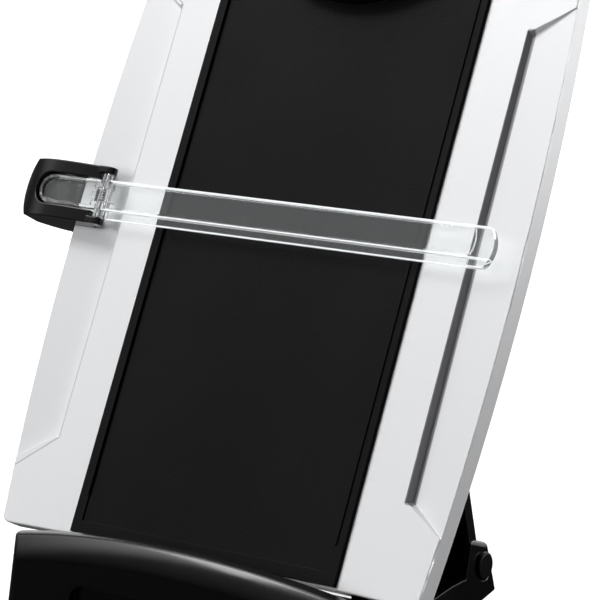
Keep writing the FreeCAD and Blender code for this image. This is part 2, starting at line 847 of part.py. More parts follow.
def make_board_shell():
    body = new_body("board_shell")
    thickness = dim("board_thickness")
    over = dim("overshoot")
    wall = dim("board_wall")
    back = -thickness.value
    face = sketch_on(body, "XY_Plane", "face")
    board_outline(face)
    slab = pad(body, face, thickness, reverse=True)
    corners = edges_where(slab, lambda box: near(box.ZLength, -back) and box.XLength < 1)
    rounded = fillet(body, slab, corners, dim("board_corner_radius"))
    front = edges_where(rounded, lambda box: near(box.ZMin, 0) and near(box.ZMax, 0))
    softened = fillet(body, rounded, front, dim("board_front_rounding"))
    rear = edges_where(softened, lambda box: near(box.ZMin, back) and near(box.ZMax, back))
    fillet(body, softened, rear, dim("board_rear_rounding"))

    channel = sketch_on(body, "XY_Plane", "panel_channel", lift=-dim("panel_seat"))
    half_channel = dim("panel_width") / 2 + dim("panel_fit")
    rectangle(channel, -half_channel, -over, half_channel, dim("board_length") + over)
    pocket(body, channel, dim("panel_seat") + over, reverse=True)

    # a shallow facet on each wing: a slanted step near the panel, running out flush at the bowed rim
    inner = dim("facet_inset")
    outer = apex_half_width - dim("facet_margin")
    step_run = dim("facet_step_width")
    width = outer - inner
    stations = [
        ("step_top", inner, as_size(0), as_size(0)),
        ("step_foot", inner + step_run, as_size(-1), step_run),
        ("rim", outer + over, over / (width - step_run), width + over),
    ]
    sections = []
    for name, across, sink, run in stations:
        section = sketch_on(body, "YZ_Plane", f"facet_{name}", lift=across)
        spread = run * dim("facet_diagonal") / width
        low = dim("facet_bottom") - spread
        high = dim("facet_top") + spread
        slope = dim("facet_wall_run") * sink
        outline(section, [
            (low, over), (low - slope, sink * dim("facet_step_low")),
            (high + slope, sink * dim("facet_step_high")), (high, over),
        ])
        sections.append(section)
    facet = body.newObject("PartDesign::SubtractiveLoft", "board_shell_facet")
    facet.Profile = sections[0]
    facet.Sections = sections[1:]
    facet.Ruled = True
    mirror(body, [facet], "YZ_Plane")

    cavity = sketch_on(body, "XY_Plane", "cavity", lift=-dim("cavity_depth"))
    board_outline(cavity, inset=wall, bottom=dim("sill_height"))
    pocket(body, cavity, thickness)
    wings = sketch_on(body, "XY_Plane", "wing_cavities", lift=-dim("wing_skin"))
    for side in (-1, 1):
        edges = sorted(((half_channel + wall) * side, (inner - wall) * side), key=lambda edge: edge.value)
        rectangle(wings, edges[0], dim("sill_height"), edges[1], dim("board_length") - dim("sill_height"))
    pocket(body, wings, dim("cavity_depth"))

    bosses = sketch_on(body, "XY_Plane", "bosses", lift=-cover_front)
    for x, y in cover_screw_places():
        circle(bosses, x, y, dim("boss_radius"))
    pad(body, bosses, cover_front - dim("wing_skin") - dim("boss_root"))
    bores = sketch_on(body, "XY_Plane", "boss_bores", lift=-cover_front)
    for x, y in cover_screw_places():
        circle(bores, x, y, dim("screw_radius") + dim("screw_clearance"))
    pocket(body, bores, dim("cover_screw_bore"), reverse=True)
    clip_bores = sketch_on(body, "XY_Plane", "clip_screw_bores")
    for x, y in clip_screw_places():
        circle(clip_bores, x, y + dim("clip_hinge_up"), dim("screw_radius") + dim("screw_clearance"))
    pocket(body, clip_bores, dim("clip_screw_bore"))

    slots = sketch_on(body, "XY_Plane", "lug_slots", lift=-thickness)
    half_slot = dim("lug_width") / 2 + dim("lug_clearance")
    for side in (-1, 1):
        centre = hinge_spread * side
        rectangle(slots, centre - half_slot, -over, centre + half_slot,
                  dim("board_hinge_up") + dim("lug_radius") + dim("lug_clearance") * 2)
    pocket(body, slots, thickness - dim("board_hinge_back") + dim("lug_radius") + dim("lug_clearance"),
           reverse=True)
    pin_holes = sketch_on(body, "YZ_Plane", "pin_holes", lift=hinge_spread)
    circle(pin_holes, dim("board_hinge_up"), -dim("board_hinge_back"),
           dim("hinge_pin_radius") + dim("running_clearance"))
    hole = pocket(body, pin_holes, dim("hinge_pin_length") + dim("end_clearance") * 2, symmetric=True)
    mirror(body, [hole], "YZ_Plane")
    place_on_board(body)
    return body


def make_centre_panel():
    body = new_body("centre_panel")
    half = dim("panel_width") / 2
    low = dim("panel_end_gap")
    high = dim("board_length") - dim("panel_end_gap")
    plan = sketch_on(body, "XY_Plane", "plan", lift=-dim("panel_seat"))
    rectangle(plan, -half, low, half, high)
    pad(body, plan, dim("panel_thickness"))

    top = dim("panel_thickness") - dim("panel_seat")
    field_half = dim("bead_offset") - dim("bead_width") / 2
    margin = dim("panel_field_margin")
    field = sketch_on(body, "XY_Plane", "field", lift=top)
    rectangle(field, -field_half, low + margin, field_half, high - margin)
    pocket(body, field, dim("panel_field_depth"))

    beads = sketch_on(body, "XY_Plane", "beads", lift=top - dim("panel_field_depth"))
    for side in (-1, 1):
        centre = dim("bead_offset") * side
        rounded_rectangle(beads, centre - dim("bead_width") / 2, dim("bead_margin"),
                          centre + dim("bead_width") / 2, dim("board_length") - dim("bead_margin"),
                          dim("bead_rounding"))
    pad(body, beads, dim("panel_field_depth") + dim("bead_rise"))
    screw_holes = sketch_on(body, "XY_Plane", "screw_holes", lift=top)
    for x, y in clip_screw_places():
        circle(screw_holes, x, y + dim("clip_hinge_up"), dim("screw_radius") + dim("screw_clearance"))
    pocket(body, screw_holes, dim("panel_thickness") + dim("overshoot"))
    place_on_board(body)
    return body


def make_board_back_cover():
    body = new_body("board_back_cover")
    plan = sketch_on(body, "XY_Plane", "plan", lift=-cover_back)
    board_outline(plan, inset=dim("board_wall") + dim("cover_fit"),
                  bottom=dim("sill_height") + dim("cover_fit"))
    pad(body, plan, dim("cover_thickness"))

    field = sketch_on(body, "XY_Plane", "field", lift=-cover_back)
    for side in (-1, 1):
        edges = sorted((dim("cover_field_inner") * side, dim("cover_field_outer") * side),
                       key=lambda edge: edge.value)
        rounded_rectangle(field, edges[0], dim("cover_field_margin"), edges[1],
                          dim("board_length") - dim("cover_field_margin"), dim("cover_field_corner"))
    pocket(body, field, dim("cover_field_depth"), reverse=True)

    heads = sketch_on(body, "XY_Plane", "heads", lift=-cover_back)
    holes = sketch_on(body, "XY_Plane", "holes", lift=-cover_back)
    for x, y in cover_screw_places():
        circle(heads, x, y, dim("screw_head_radius") + dim("screw_clearance") * 2)
        circle(holes, x, y, dim("screw_radius") + dim("screw_clearance"))
    for level in rail_screw_levels():
        circle(holes, -dim("rail_offset"), level, dim("screw_radius") + dim("screw_clearance"))
    pocket(body, heads, dim("screw_head_height"), reverse=True)
    pocket(body, holes, dim("cover_thickness") + dim("overshoot"), reverse=True)
    place_on_board(body)
    return body


def make_back_cover_screws():
    body = new_body("back_cover_screws")
    length = cover_back - cover_front - dim("screw_head_height") + dim("cover_screw_bore")
    add_screws(body, cover_screw_places(), -cover_back, length - dim("screw_bore_spare"))
    place_on_board(body)
    return body


def make_angle_racks():
    """Two strips of ratchet notches: each notch catches the leg's tip at one lean of the board."""
    body = new_body("angle_racks")
    profile = sketch_on(body, "YZ_Plane", "profile", lift=dim("rack_spread"))
    pitch = dim("notch_pitch")
    half = pitch * (NOTCH_COUNT + 1) / 2
    crest = -rack_crest
    floor = crest + dim("notch_depth")
    land = dim("notch_land")
    points = [(rack_up - half, -cover_back), (rack_up - half, floor)]
    for number in range(NOTCH_COUNT):
        start = rack_up + pitch * (number - NOTCH_COUNT / 2)
        points += [(start - land / 2, crest), (start + land / 2, crest),
                   (start + land * 1.5, floor), (start + pitch - land * 1.5, floor)]
    last = rack_up + pitch * (NOTCH_COUNT / 2)
    points += [(last - land / 2, crest), (last + land / 2, crest),
               (rack_up + half, floor), (rack_up + half, -cover_back)]
    outline(profile, points)
    strip = pad(body, profile, dim("rack_width"), symmetric=True)
    mirror(body, [strip], "YZ_Plane")
    place_on_board(body)
    return body


# ---- leg ----

def place_leg(body):
    """The leg's own frame: origin at its pivot, Z up along the leg, leaning forward to the board."""
    body.Placement = FreeCAD.Placement(FreeCAD.Vector(), FreeCAD.Rotation(FreeCAD.Vector(1, 0, 0), 10))
    drive(body, "Placement.Base.y", pivot_y)
    drive(body, "Placement.Base.z", pivot_z)
    drive(body, "Placement.Rotation.Angle", dim("leg_lean"))


def leg_outline(sketch, inset=0):
    inset = as_size(inset)
    half = leg_half - inset
    top_half = dim("leg_top_width") / 2 - inset
    outline(sketch, [
        (-half, inset), (half, inset), (half, dim("leg_straight")), (top_half, leg_length - inset),
        (-top_half, leg_length - inset), (-half, dim("leg_straight")),
    ])


def make_support_leg():
    body = new_body("support_leg")
    thickness = dim("leg_tip_radius") * 2
    over = dim("overshoot")
    plan = sketch_on(body, "XZ_Plane", "plan", lift=-thickness / 2)
    leg_outline(plan)
    pad(body, plan, thickness)
    barrel = sketch_on(body, "YZ_Plane", "barrel")
    circle(barrel, 0, 0, dim("leg_barrel_radius"))
    pad(body, barrel, leg_half * 2, symmetric=True)
    bar = sketch_on(body, "YZ_Plane", "bar")
    circle(bar, 0, leg_length, dim("leg_tip_radius"))
    pad(body, bar, dim("leg_top_width"), symmetric=True)

    half_window = dim("leg_window_width") / 2
    bottom = dim("leg_window_bottom")
    top = leg_length - dim("leg_window_margin")
    rim = dim("leg_rim")
    window = sketch_on(body, "XZ_Plane", "window", lift=-thickness / 2)
    rounded_rectangle(window, -half_window, bottom, half_window, top, dim("leg_window_corner"))
    pocket(body, window, thickness, reverse=True)
    relief = sketch_on(body, "XZ_Plane", "relief", lift=thickness / 2)
    leg_outline(relief, inset=rim)
    rounded_rectangle(relief, -half_window - rim, bottom - rim, half_window + rim, top + rim,
                      dim("leg_window_corner") + rim)
    pocket(body, relief, dim("leg_relief"))

    gaps = sketch_on(body, "XZ_Plane", "tip_gaps", lift=-thickness / 2 - over)
    half_gap = dim("leg_tip_length") / 2 + dim("end_clearance")
    for side in (-1, 1):
        centre = dim("rack_spread") * side
        rectangle(gaps, centre - half_gap, leg_length - dim("leg_tip_radius") - dim("leg_tip_clearance"),
                  centre + half_gap, leg_length + dim("leg_tip_radius") + over)
    pocket(body, gaps, thickness + over * 2, reverse=True)
    core = sketch_on(body, "YZ_Plane", "core")
    circle(core, 0, leg_length, dim("leg_core_radius"))
    pad(body, core, dim("leg_top_width"), symmetric=True)

    bores = sketch_on(body, "YZ_Plane", "bores", lift=leg_half)
    circle(bores, 0, 0, dim("leg_pin_radius") + dim("running_clearance"))
    bore = pocket(body, bores, dim("leg_pin_length"))
    mirror(body, [bore], "YZ_Plane")
    place_leg(body)
    return body


def make_leg_tips():
    body = new_body("leg_tips")
    ring = sketch_on(body, "YZ_Plane", "ring", lift=dim("rack_spread"))
    circle(ring, 0, leg_length, dim("leg_tip_radius"))
    circle(ring, 0, leg_length, dim("leg_core_radius") + dim("running_clearance"))
    sleeve = pad(body, ring, dim("leg_tip_length"), symmetric=True)
    mirror(body, [sleeve], "YZ_Plane")
    place_leg(body)
    return body


# ---- rail and carriage of the line guide ----

def rail_screw_levels():
    low = dim("rail_bottom") + dim("rail_screw_margin")
    high = dim("rail_bottom") + dim("rail_length") - dim("rail_screw_margin")
    return [low, (low + high) / 2, high]


def make_guide_rail():
    body = new_body("guide_rail")
    section = sketch_on(body, "XZ_Plane", "section", lift=-dim("rail_bottom"))
    centre = -dim("rail_offset")
    foot = dim("rail_foot_width") / 2
    head = dim("rail_head_width") / 2
    crest = -cover_back - dim("rail_height")
    outline(section, [(centre - head, crest), (centre + head, crest),
                      (centre + foot, -cover_back), (centre - foot, -cover_back)])
    pad(body, section, dim("rail_length"), reverse=True)
    holes = sketch_on(body, "XY_Plane", "holes", lift=crest)
    heads = sketch_on(body, "XY_Plane", "heads", lift=crest)
    for level in rail_screw_levels():
        circle(holes, centre, level, dim("screw_radius") + dim("screw_clearance"))
        circle(heads, centre, level, dim("screw_head_radius") + dim("screw_clearance") * 2)
    pocket(body, holes, dim("rail_height") + dim("overshoot"), reverse=True)
    pocket(body, heads, dim("screw_head_height") + dim("rail_screw_sink"), reverse=True)
    place_on_board(body)
    return body


def make_rail_screws():
    body = new_body("rail_screws")
    start = -cover_back - dim("rail_height") + dim("rail_screw_sink")
    length = -cover_front - start - dim("screw_head_height") - dim("end_clearance")
    add_screws(body, [(-dim("rail_offset"), level) for level in rail_screw_levels()], start, length)
    place_on_board(body)
    return body


def place_carriage(body, across=0, out=0):
    place_on_board(body, across=across, up=dim("guide_height"), out=out)


def carriage_side(sketch):
    """The slider from below: a domed top, a tip that thins out past the rim and a boat-shaped underside."""
    arm_end = -dim("carriage_arm_end")
    crown = -dim("carriage_crown_offset")
    outline(sketch, [
        (-dim("carriage_reach"), dim("carriage_tip_height"), dim("carriage_belly_radius")),
        (wrap_outer, -wrap_floor),
        (wrap_inner, -wrap_floor),
        (wrap_inner, dim("carriage_lift")),
        (arm_end, dim("carriage_lift")),
        (arm_end, dim("carriage_arm_height"), dim("carriage_top_radius")),
        (crown, dim("carriage_crown"), dim("carriage_tip_radius")),
    ])


def trim_to_tip(body, name, low):
    """Cut the slider's outer end to a bowed line with rounded corners, seen from the front."""
    half = dim("carriage_width") / 2
    over = dim("overshoot")
    shoulder = dim("carriage_tip_bow") - dim("carriage_reach")
    bow = bow_radius(dim("carriage_width"), dim("carriage_tip_bow"))
    beyond = -dim("carriage_reach") - over
    tip = sketch_on(body, "XY_Plane", name, lift=low)
    outline(tip, [
        (beyond, -half - over), (shoulder, -half - over), (shoulder, -half, -bow), (shoulder, half),
        (shoulder, half + over), (beyond, half + over),
    ])
    pocket(body, tip, dim("carriage_crown") - low + over * 2, reverse=True)


def tab_well(sketch, right):
    """The slider's opening round the guide's tab: a round left end, open or square on the right."""
    half = dim("tab_well_width") / 2
    bend = half - dim("tab_well_end")
    outline(sketch, [(right, half), (bend, half, half), (-dim("tab_well_end"), as_size(0), half),
                     (bend, -half), (right, -half)])


def make_carriage_body():
    body = new_body("carriage_body")
    half = dim("carriage_width") / 2
    over = dim("overshoot")
    side = sketch_on(body, "XZ_Plane", "side")
    carriage_side(side)
    pad(body, side, dim("carriage_width"), symmetric=True)
    trim_to_tip(body, "tip", -wrap_floor - over)

    ears = sketch_on(body, "XZ_Plane", "ears", lift=half)
    hinge = -dim("guide_hinge_offset")
    radius = dim("ear_radius")
    level = dim("guide_hinge_height")
    root_u = -dim("carriage_arm_end") - dim("ear_root")
    outline(ears, [(root_u, level - radius), (hinge, level - radius, radius), (hinge + radius, level, radius),
                   (hinge, level + radius), (root_u, level + radius)])
    ear = pad(body, ears, dim("ear_length"), reverse=True)
    mirror(body, [ear], "XZ_Plane")

    upper_well = sketch_on(body, "XY_Plane", "upper_well", lift=dim("web_level"))
    tab_well(upper_well, hinge)
    pocket(body, upper_well, dim("carriage_crown") + over, reverse=True)
    arm_gap = sketch_on(body, "XY_Plane", "arm_gap", lift=dim("carriage_lift"))
    half_well = dim("tab_well_width") / 2
    rectangle(arm_gap, -dim("web_inner"), -half_well, hinge, half_well)
    pocket(body, arm_gap, dim("carriage_crown") + over, reverse=True)
    lower_well = sketch_on(body, "XY_Plane", "lower_well", lift=-wrap_floor - over)
    bend = half_well - dim("web_ledge")
    web_half = dim("web_half_width")
    outline(lower_well, [
        (-dim("web_outer"), web_half, bend), (dim("web_ledge") - dim("tab_well_end"), as_size(0), bend),
        (-dim("web_outer"), -web_half),
    ])
    pocket(body, lower_well, wrap_floor + dim("carriage_crown") + over * 2, reverse=True)

    pin_bore = sketch_on(body, "XZ_Plane", "pin_bore")
    circle(pin_bore, hinge, level, dim("guide_pin_radius"))
    pocket(body, pin_bore, dim("carriage_width"), symmetric=True)
    screw_bores = sketch_on(body, "XY_Plane", "screw_bores", lift=-wrap_floor)
    for x, y in carriage_screw_places():
        circle(screw_bores, x, y, dim("screw_radius") + dim("screw_clearance"))
    pocket(body, screw_bores, dim("carriage_screw_bore"), reverse=True)
    place_carriage(body)
    return body


def carriage_screw_places():
    middle = (wrap_inner + wrap_outer) / 2
    return [(middle, dim("carriage_screw_spread") * side) for side in (-1, 1)]


def make_carriage_shoe():
    body = new_body("carriage_shoe")
    over = dim("overshoot")
    seat = -wrap_floor
    bottom = seat - dim("shoe_thickness")
    gap = dim("shoe_rail_clearance")
    rail = -dim("rail_offset")
    rail_crest = -cover_back - dim("rail_height")
    slope = (dim("rail_head_width") - dim("rail_foot_width")) / 2 / dim("rail_height")
    head = dim("rail_head_width") / 2 + gap + gap * slope
    mouth = head - (seat - rail_crest + gap) * slope
    section = sketch_on(body, "XZ_Plane", "section")
    outline(section, [
        (wrap_outer + dim("shoe_chamfer"), bottom), (-dim("shoe_inner_end"), bottom),
        (-dim("shoe_inner_end"), seat), (rail + mouth, seat), (rail + head, rail_crest - gap),
        (rail - head, rail_crest - gap), (rail - mouth, seat), (wrap_outer, seat),
        (wrap_outer, bottom + dim("shoe_chamfer")),
    ])
    shoe = pad(body, section, dim("carriage_width"), symmetric=True)
    corners = edges_where(shoe, lambda box: box.ZLength > 2 and near(box.YLength, 0) and near(box.XLength, 0))
    fillet(body, shoe, corners, dim("shoe_corner"))

    heads = sketch_on(body, "XY_Plane", "heads", lift=bottom)
    holes = sketch_on(body, "XY_Plane", "holes", lift=bottom)
    for x, y in carriage_screw_places():
        circle(heads, x, y, dim("screw_head_radius") + dim("screw_clearance") * 2)
        circle(holes, x, y, dim("screw_radius") + dim("screw_clearance"))
    pocket(body, heads, dim("screw_head_height"), reverse=True)
    pocket(body, holes, dim("shoe_thickness") + over, reverse=True)
    pad_seat = sketch_on(body, "XY_Plane", "pad_seat", lift=friction_pad_bottom)
    friction_pad_plan(pad_seat)
    pocket(body, pad_seat, dim("friction_pad_thickness"), reverse=True)
    place_carriage(body)
    return body


def friction_pad_plan(sketch):
    middle = -dim("friction_pad_offset")
    rectangle(sketch, middle - dim("friction_pad_width") / 2, -dim("friction_pad_length") / 2,
              middle + dim("friction_pad_width") / 2, dim("friction_pad_length") / 2)


def make_friction_pad():
    body = new_body("friction_pad")
    plan = sketch_on(body, "XY_Plane", "plan", lift=friction_pad_bottom)
    friction_pad_plan(plan)
    pad(body, plan, dim("friction_pad_thickness"))
    place_carriage(body)
    return body


def make_carriage_screws():
    body = new_body("carriage_screws")
    start = -wrap_floor - dim("shoe_thickness")
    length = dim("shoe_thickness") - dim("screw_head_height") + dim("carriage_screw_bore")
    add_screws(body, carriage_screw_places(), start, length - dim("screw_bore_spare"))
    place_carriage(body)
    return body


def make_guide_hinge_pin():
    body = new_body("guide_hinge_pin")
    section = sketch_on(body, "XZ_Plane", "section")
    circle(section, -dim("guide_hinge_offset"), dim("guide_hinge_height"), dim("guide_pin_radius"))
    pad(body, section, dim("carriage_width"), symmetric=True)
    place_carriage(body)
    return body


def coil_spring(body, role, turns, length, coil_radius, wire_radius, leg_length):
    """A torsion spring coiled round the first axis of a plane; its straight ends leave the lowest point."""
    profile = sketch_on(body, role, "profile")
    circle(profile, -length / 2, -coil_radius, wire_radius)
    coil = body.newObject("PartDesign::AdditiveHelix", f"{body.Label}_coil")
    coil.Profile = profile
    coil.ReferenceAxis = (profile, ["H_Axis"])
    coil.Mode = "height-turns-growth"
    drive(coil, "Height", length)
    coil.Turns = turns
    for side in (-1, 1):
        end = sketch_on(body, role, "low_end" if side < 0 else "high_end")
        circle(end, length / 2 * side, -coil_radius, wire_radius)
        pad(body, end, leg_length, reverse=side > 0)


def make_guide_spring():
    body = new_body("guide_spring")
    coil_spring(body, "YZ_Plane", SPRING_TURNS, dim("guide_spring_length"), dim("spring_coil_radius"),
                dim("spring_wire_radius"), dim("spring_leg_length"))
    place_carriage(body, across=-dim("guide_hinge_offset"), out=dim("guide_hinge_height"))
    return body


# ---- line guide ----

def make_line_guide():
    body = new_body("line_guide")
    half = dim("guide_width") / 2
    rim = dim("guide_rim")
    over = dim("overshoot")
    under = dim("guide_underside")
    end = dim("guide_end") - dim("guide_end_bow")
    start = -dim("guide_start")
    bow = bow_radius(dim("guide_width") + dim("guide_flange"), dim("guide_end_bow"))
    low = -half - dim("guide_flange")
    flange_start = -dim("guide_flange_start")
    plan = sketch_on(body, "XY_Plane", "plan", lift=under)
    outline(plan, [(start, -half), (flange_start, -half), (flange_start, low), (end, low, bow),
                   (end, half), (start, half)])
    bar = pad(body, plan, dim("guide_depth"))
    corners = edges_where(bar, lambda box: near(box.ZLength, dim("guide_depth").value)
                          and box.XMax > 0 and box.YLength < 1)
    fillet(body, bar, corners, dim("guide_corner"))

    flange = sketch_on(body, "XY_Plane", "flange", lift=under + dim("guide_floor"))
    rectangle(flange, flange_start - over, low - over, end - dim("guide_end_pad"), -half)
    pocket(body, flange, dim("guide_depth") + over, reverse=True)
    tray = sketch_on(body, "XY_Plane", "tray", lift=under + dim("guide_floor"))
    left = start + dim("guide_root")
    inner = half - rim
    right = end - dim("guide_end_pad")
    outline(tray, [(left, -inner), (right, -inner, bow), (right, inner), (left, inner)])
    pocket(body, tray, dim("guide_depth") + over, reverse=True)

    hinge = -dim("guide_hinge_offset")
    level = dim("guide_hinge_height")
    barrels = sketch_on(body, "XZ_Plane", "barrels")
    circle(barrels, hinge, level, dim("guide_barrel_radius"))
    pad(body, barrels, dim("guide_barrel_width"), symmetric=True)

    tab_half = dim("tab_width") / 2
    tab_bend = tab_half - dim("tab_end")
    tab = sketch_on(body, "XY_Plane", "tab", lift=under)
    outline(tab, [(hinge, tab_half), (tab_bend, tab_half, tab_half), (-dim("tab_end"), as_size(0), tab_half),
                  (tab_bend, -tab_half), (hinge, -tab_half)])
    pad(body, tab, dim("tab_depth"))
    dish = sketch_on(body, "XY_Plane", "dish", lift=under + dim("tab_floor"))
    dish_half = tab_half - rim
    dish_right = hinge - dim("guide_barrel_radius") - rim
    outline(dish, [(dish_right, dish_half), (tab_bend, dish_half, dish_half),
                   (rim - dim("tab_end"), as_size(0), dish_half), (tab_bend, -dish_half),
                   (dish_right, -dish_half)])
    pocket(body, dish, dim("tab_depth") + over, reverse=True)

    gap = sketch_on(body, "XY_Plane", "spring_gap", lift=-over)
    half_gap = dim("spring_gap_width") / 2
    reach = dim("guide_barrel_radius") + dim("spring_gap_margin")
    rectangle(gap, hinge - reach, -half_gap, hinge + reach, half_gap)
    pocket(body, gap, under + dim("guide_depth") + over * 2, reverse=True)
    bore = sketch_on(body, "XZ_Plane", "bore")
    circle(bore, hinge, level, dim("guide_pin_radius") + dim("running_clearance"))
    pocket(body, bore, dim("carriage_width"), symmetric=True)
    place_carriage(body)
    return body


# ---- clip ----

def place_clip(body, out=0):
    place_on_board(body, up=dim("clip_hinge_up"), out=out)


def clip_screw_places():
    return [(dim("clip_screw_spread") * side, as_size(0)) for side in (-1, 1)]


def make_clip_bracket():
    body = new_body("clip_bracket")
    half_foot = dim("clip_foot_length") / 2
    half_width = dim("clip_foot_width") / 2
    radius = dim("clip_ear_radius")
    level = dim("clip_hinge_height")
    foot = sketch_on(body, "XY_Plane", "foot", lift=panel_field)
    rounded_rectangle(foot, -half_foot, -half_width, half_foot, half_width, dim("clip_foot_corner"))
    pad(body, foot, dim("clip_foot_thickness"))
    ears = sketch_on(body, "YZ_Plane", "ears", lift=dim("clip_ear_spread"))
    outline(ears, [(-radius, panel_field), (radius, panel_field), (radius, level, radius),
                   (as_size(0), level + radius, radius), (-radius, level)])
    ear = pad(body, ears, dim("clip_ear_width"), symmetric=True)
    mirror(body, [ear], "YZ_Plane")
    bore = sketch_on(body, "YZ_Plane", "bore")
    circle(bore, 0, level, dim("clip_pin_radius"))
    pocket(body, bore, dim("clip_foot_length"), symmetric=True)
    holes = sketch_on(body, "XY_Plane", "holes", lift=panel_field)
    for x, y in clip_screw_places():
        circle(holes, x, y, dim("screw_radius") + dim("screw_clearance"))
    pocket(body, holes, dim("clip_foot_thickness") + dim("overshoot"), reverse=True)
    place_clip(body)
    return body


def make_clip_bracket_screws():
    body = new_body("clip_bracket_screws")
    top = panel_field + dim("clip_foot_thickness")
    heads = sketch_on(body, "XY_Plane", "heads", lift=top)
    shanks = sketch_on(body, "XY_Plane", "shanks", lift=top)
    for x, y in clip_screw_places():
        circle(heads, x, y, dim("screw_head_radius"))
        circle(shanks, x, y, dim("screw_radius"))
    pad(body, heads, dim("screw_head_height"))
    pad(body, shanks, top + dim("clip_screw_bore") - dim("screw_bore_spare"), reverse=True)
    place_clip(body)
    return body


def make_clip_hinge_pin():
    body = new_body("clip_hinge_pin")
    section = sketch_on(body, "YZ_Plane", "section")
    circle(section, 0, dim("clip_hinge_height"), dim("clip_pin_radius"))
    pad(body, section, dim("clip_pin_length"), symmetric=True)
    place_clip(body)
    return body


def make_clip_spring():
    body = new_body("clip_spring")
    coil_spring(body, "XZ_Plane", CLIP_SPRING_TURNS, dim("clip_spring_length"), dim("clip_spring_radius"),
                dim("clip_spring_wire"), dim("clip_spring_leg"))
    place_clip(body, out=dim("clip_hinge_height"))
    return body


def jaw_band(sketch, half_chord, depth):
    """A crescent along the jaw's curved lower edge."""
    radius = jaw_radius
    side = root(radius * radius - half_chord * half_chord)
    low = radius - dim("clip_jaw_drop") - side
    outline(sketch, [(-half_chord, low, radius), (half_chord, low), (half_chord, low + depth, -radius),
                     (-half_chord, low + depth)])


def make_clip_lever():
    body = new_body("clip_lever")
    over = dim("overshoot")
    half_jaw = dim("clip_jaw_width") / 2
    radius = jaw_radius
    shoulder = radius - dim("clip_jaw_drop") - root(radius * radius - half_jaw * half_jaw)
    half_top = dim("clip_top_width") / 2
    rise = dim("clip_top_rise")
    corner = dim("clip_top_corner")
    lift = dim("clip_plate_lift")
    plan = sketch_on(body, "XY_Plane", "plan", lift=lift)
    outline(plan, [(-half_jaw, shoulder, radius), (half_jaw, shoulder), (half_top, rise - corner, corner),
                   (half_top - corner, rise), (corner - half_top, rise, corner), (-half_top, rise - corner)])
    plate = pad(body, plan, dim("clip_plate_thickness"))
    top = lift.value + dim("clip_plate_thickness").value
    rims = edges_where(plate, lambda box: near(box.ZMin, top) and near(box.ZMax, top))
    fillet(body, plate, rims, dim("clip_plate_rounding"))

    jaw = sketch_on(body, "XY_Plane", "jaw", lift=clip_jaw_level)
    jaw_band(jaw, jaw_half_chord, dim("clip_jaw_lip"))
    pad(body, jaw, lift - clip_jaw_level + dim("clip_plate_thickness") / 2)
    barrel = sketch_on(body, "YZ_Plane", "barrel", lift=dim("clip_barrel_inner"))
    circle(barrel, 0, dim("clip_hinge_height"), dim("clip_barrel_radius"))
    tube = pad(body, barrel, dim("clip_ear_spread") - dim("clip_ear_width") / 2
               - dim("end_clearance") - dim("clip_barrel_inner"))
    mirror(body, [tube], "YZ_Plane")

    slots = sketch_on(body, "XY_Plane", "ear_slots", lift=0)
    half_slot = dim("clip_ear_radius") + dim("clip_slot_clearance")
    inner = dim("clip_ear_spread") - dim("clip_ear_width") / 2 - dim("end_clearance")
    outer = dim("clip_pin_length") / 2 + dim("end_clearance")
    rectangle(slots, inner, -half_slot, outer, half_slot)
    slot = pocket(body, slots, top + over.value, reverse=True)
    mirror(body, [slot], "YZ_Plane")
    window = sketch_on(body, "XY_Plane", "spring_window", lift=0)
    half_spring = dim("clip_barrel_inner") - dim("end_clearance")
    rectangle(window, -half_spring, -half_slot, half_spring, half_slot)
    pocket(body, window, top + over.value, reverse=True)
    bore = sketch_on(body, "YZ_Plane", "bore")
    circle(bore, 0, dim("clip_hinge_height"), dim("clip_pin_radius") + dim("running_clearance"))
    pocket(body, bore, dim("clip_pin_length"), symmetric=True)
    place_clip(body)
    return body


def make_clip_grip_pad():
    body = new_body("clip_grip_pad")
    plan = sketch_on(body, "XY_Plane", "plan", lift=clip_jaw_level)
    jaw_band(plan, jaw_half_chord - dim("end_clearance"), dim("clip_jaw_lip"))
    pad(body, plan, dim("clip_pad_thickness"), reverse=True)
    place_clip(body)
    return body


MAKERS = [
    make_base_housing, make_base_bottom_plate, make_base_screws, make_rubber_feet, make_board_hinge_pins,
    make_leg_pivot_pins, make_board_shell, make_centre_panel, make_board_back_cover,
    make_back_cover_screws, make_angle_racks, make_guide_rail, make_rail_screws, make_clip_bracket,
    make_clip_bracket_screws, make_clip_hinge_pin, make_clip_spring, make_carriage_body,
    make_carriage_shoe, make_carriage_screws, make_friction_pad, make_guide_hinge_pin, make_guide_spring,
    make_line_guide, make_clip_lever, make_clip_grip_pad, make_support_leg, make_leg_tips,
]

bodies = [maker() for maker in MAKERS]
doc.recompute()

for item in doc.Objects:
    if "Invalid" in item.State or "Error" in item.State:
        raise RuntimeError(f"{item.Label} did not recompute")

os.makedirs("parts", exist_ok=True)
for body in bodies:
    shape = body.Shape
    if shape.isNull() or not shape.isValid():
        raise RuntimeError(f"{body.Label} has no valid shape")
    shape.exportStep(f"parts/{body.Label}.step")
    print(body.Label, len(shape.Solids), "solids", round(shape.Volume), "mm3")
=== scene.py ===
# %% [markdown]
# # A copy holder with a sliding line guide
#
# The holder stands on a desk beside a keyboard. A silver and black board leans back in a polished
# base, a clear guide slides down the page to mark the line being typed, a black clip holds the top
# of the sheet, and a leg at the back sets the lean. The CAD model gives every solid its real place,
# so this scene starts by loading it as a fixed frame. Nothing in the frame is moved or reshaped:
# the scene gives it finishes, fine detail, light and a camera.

# %% Load the frame
import json
import math
from itertools import product

import bmesh
import bpy
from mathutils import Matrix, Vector
from mathutils.bvhtree import BVHTree


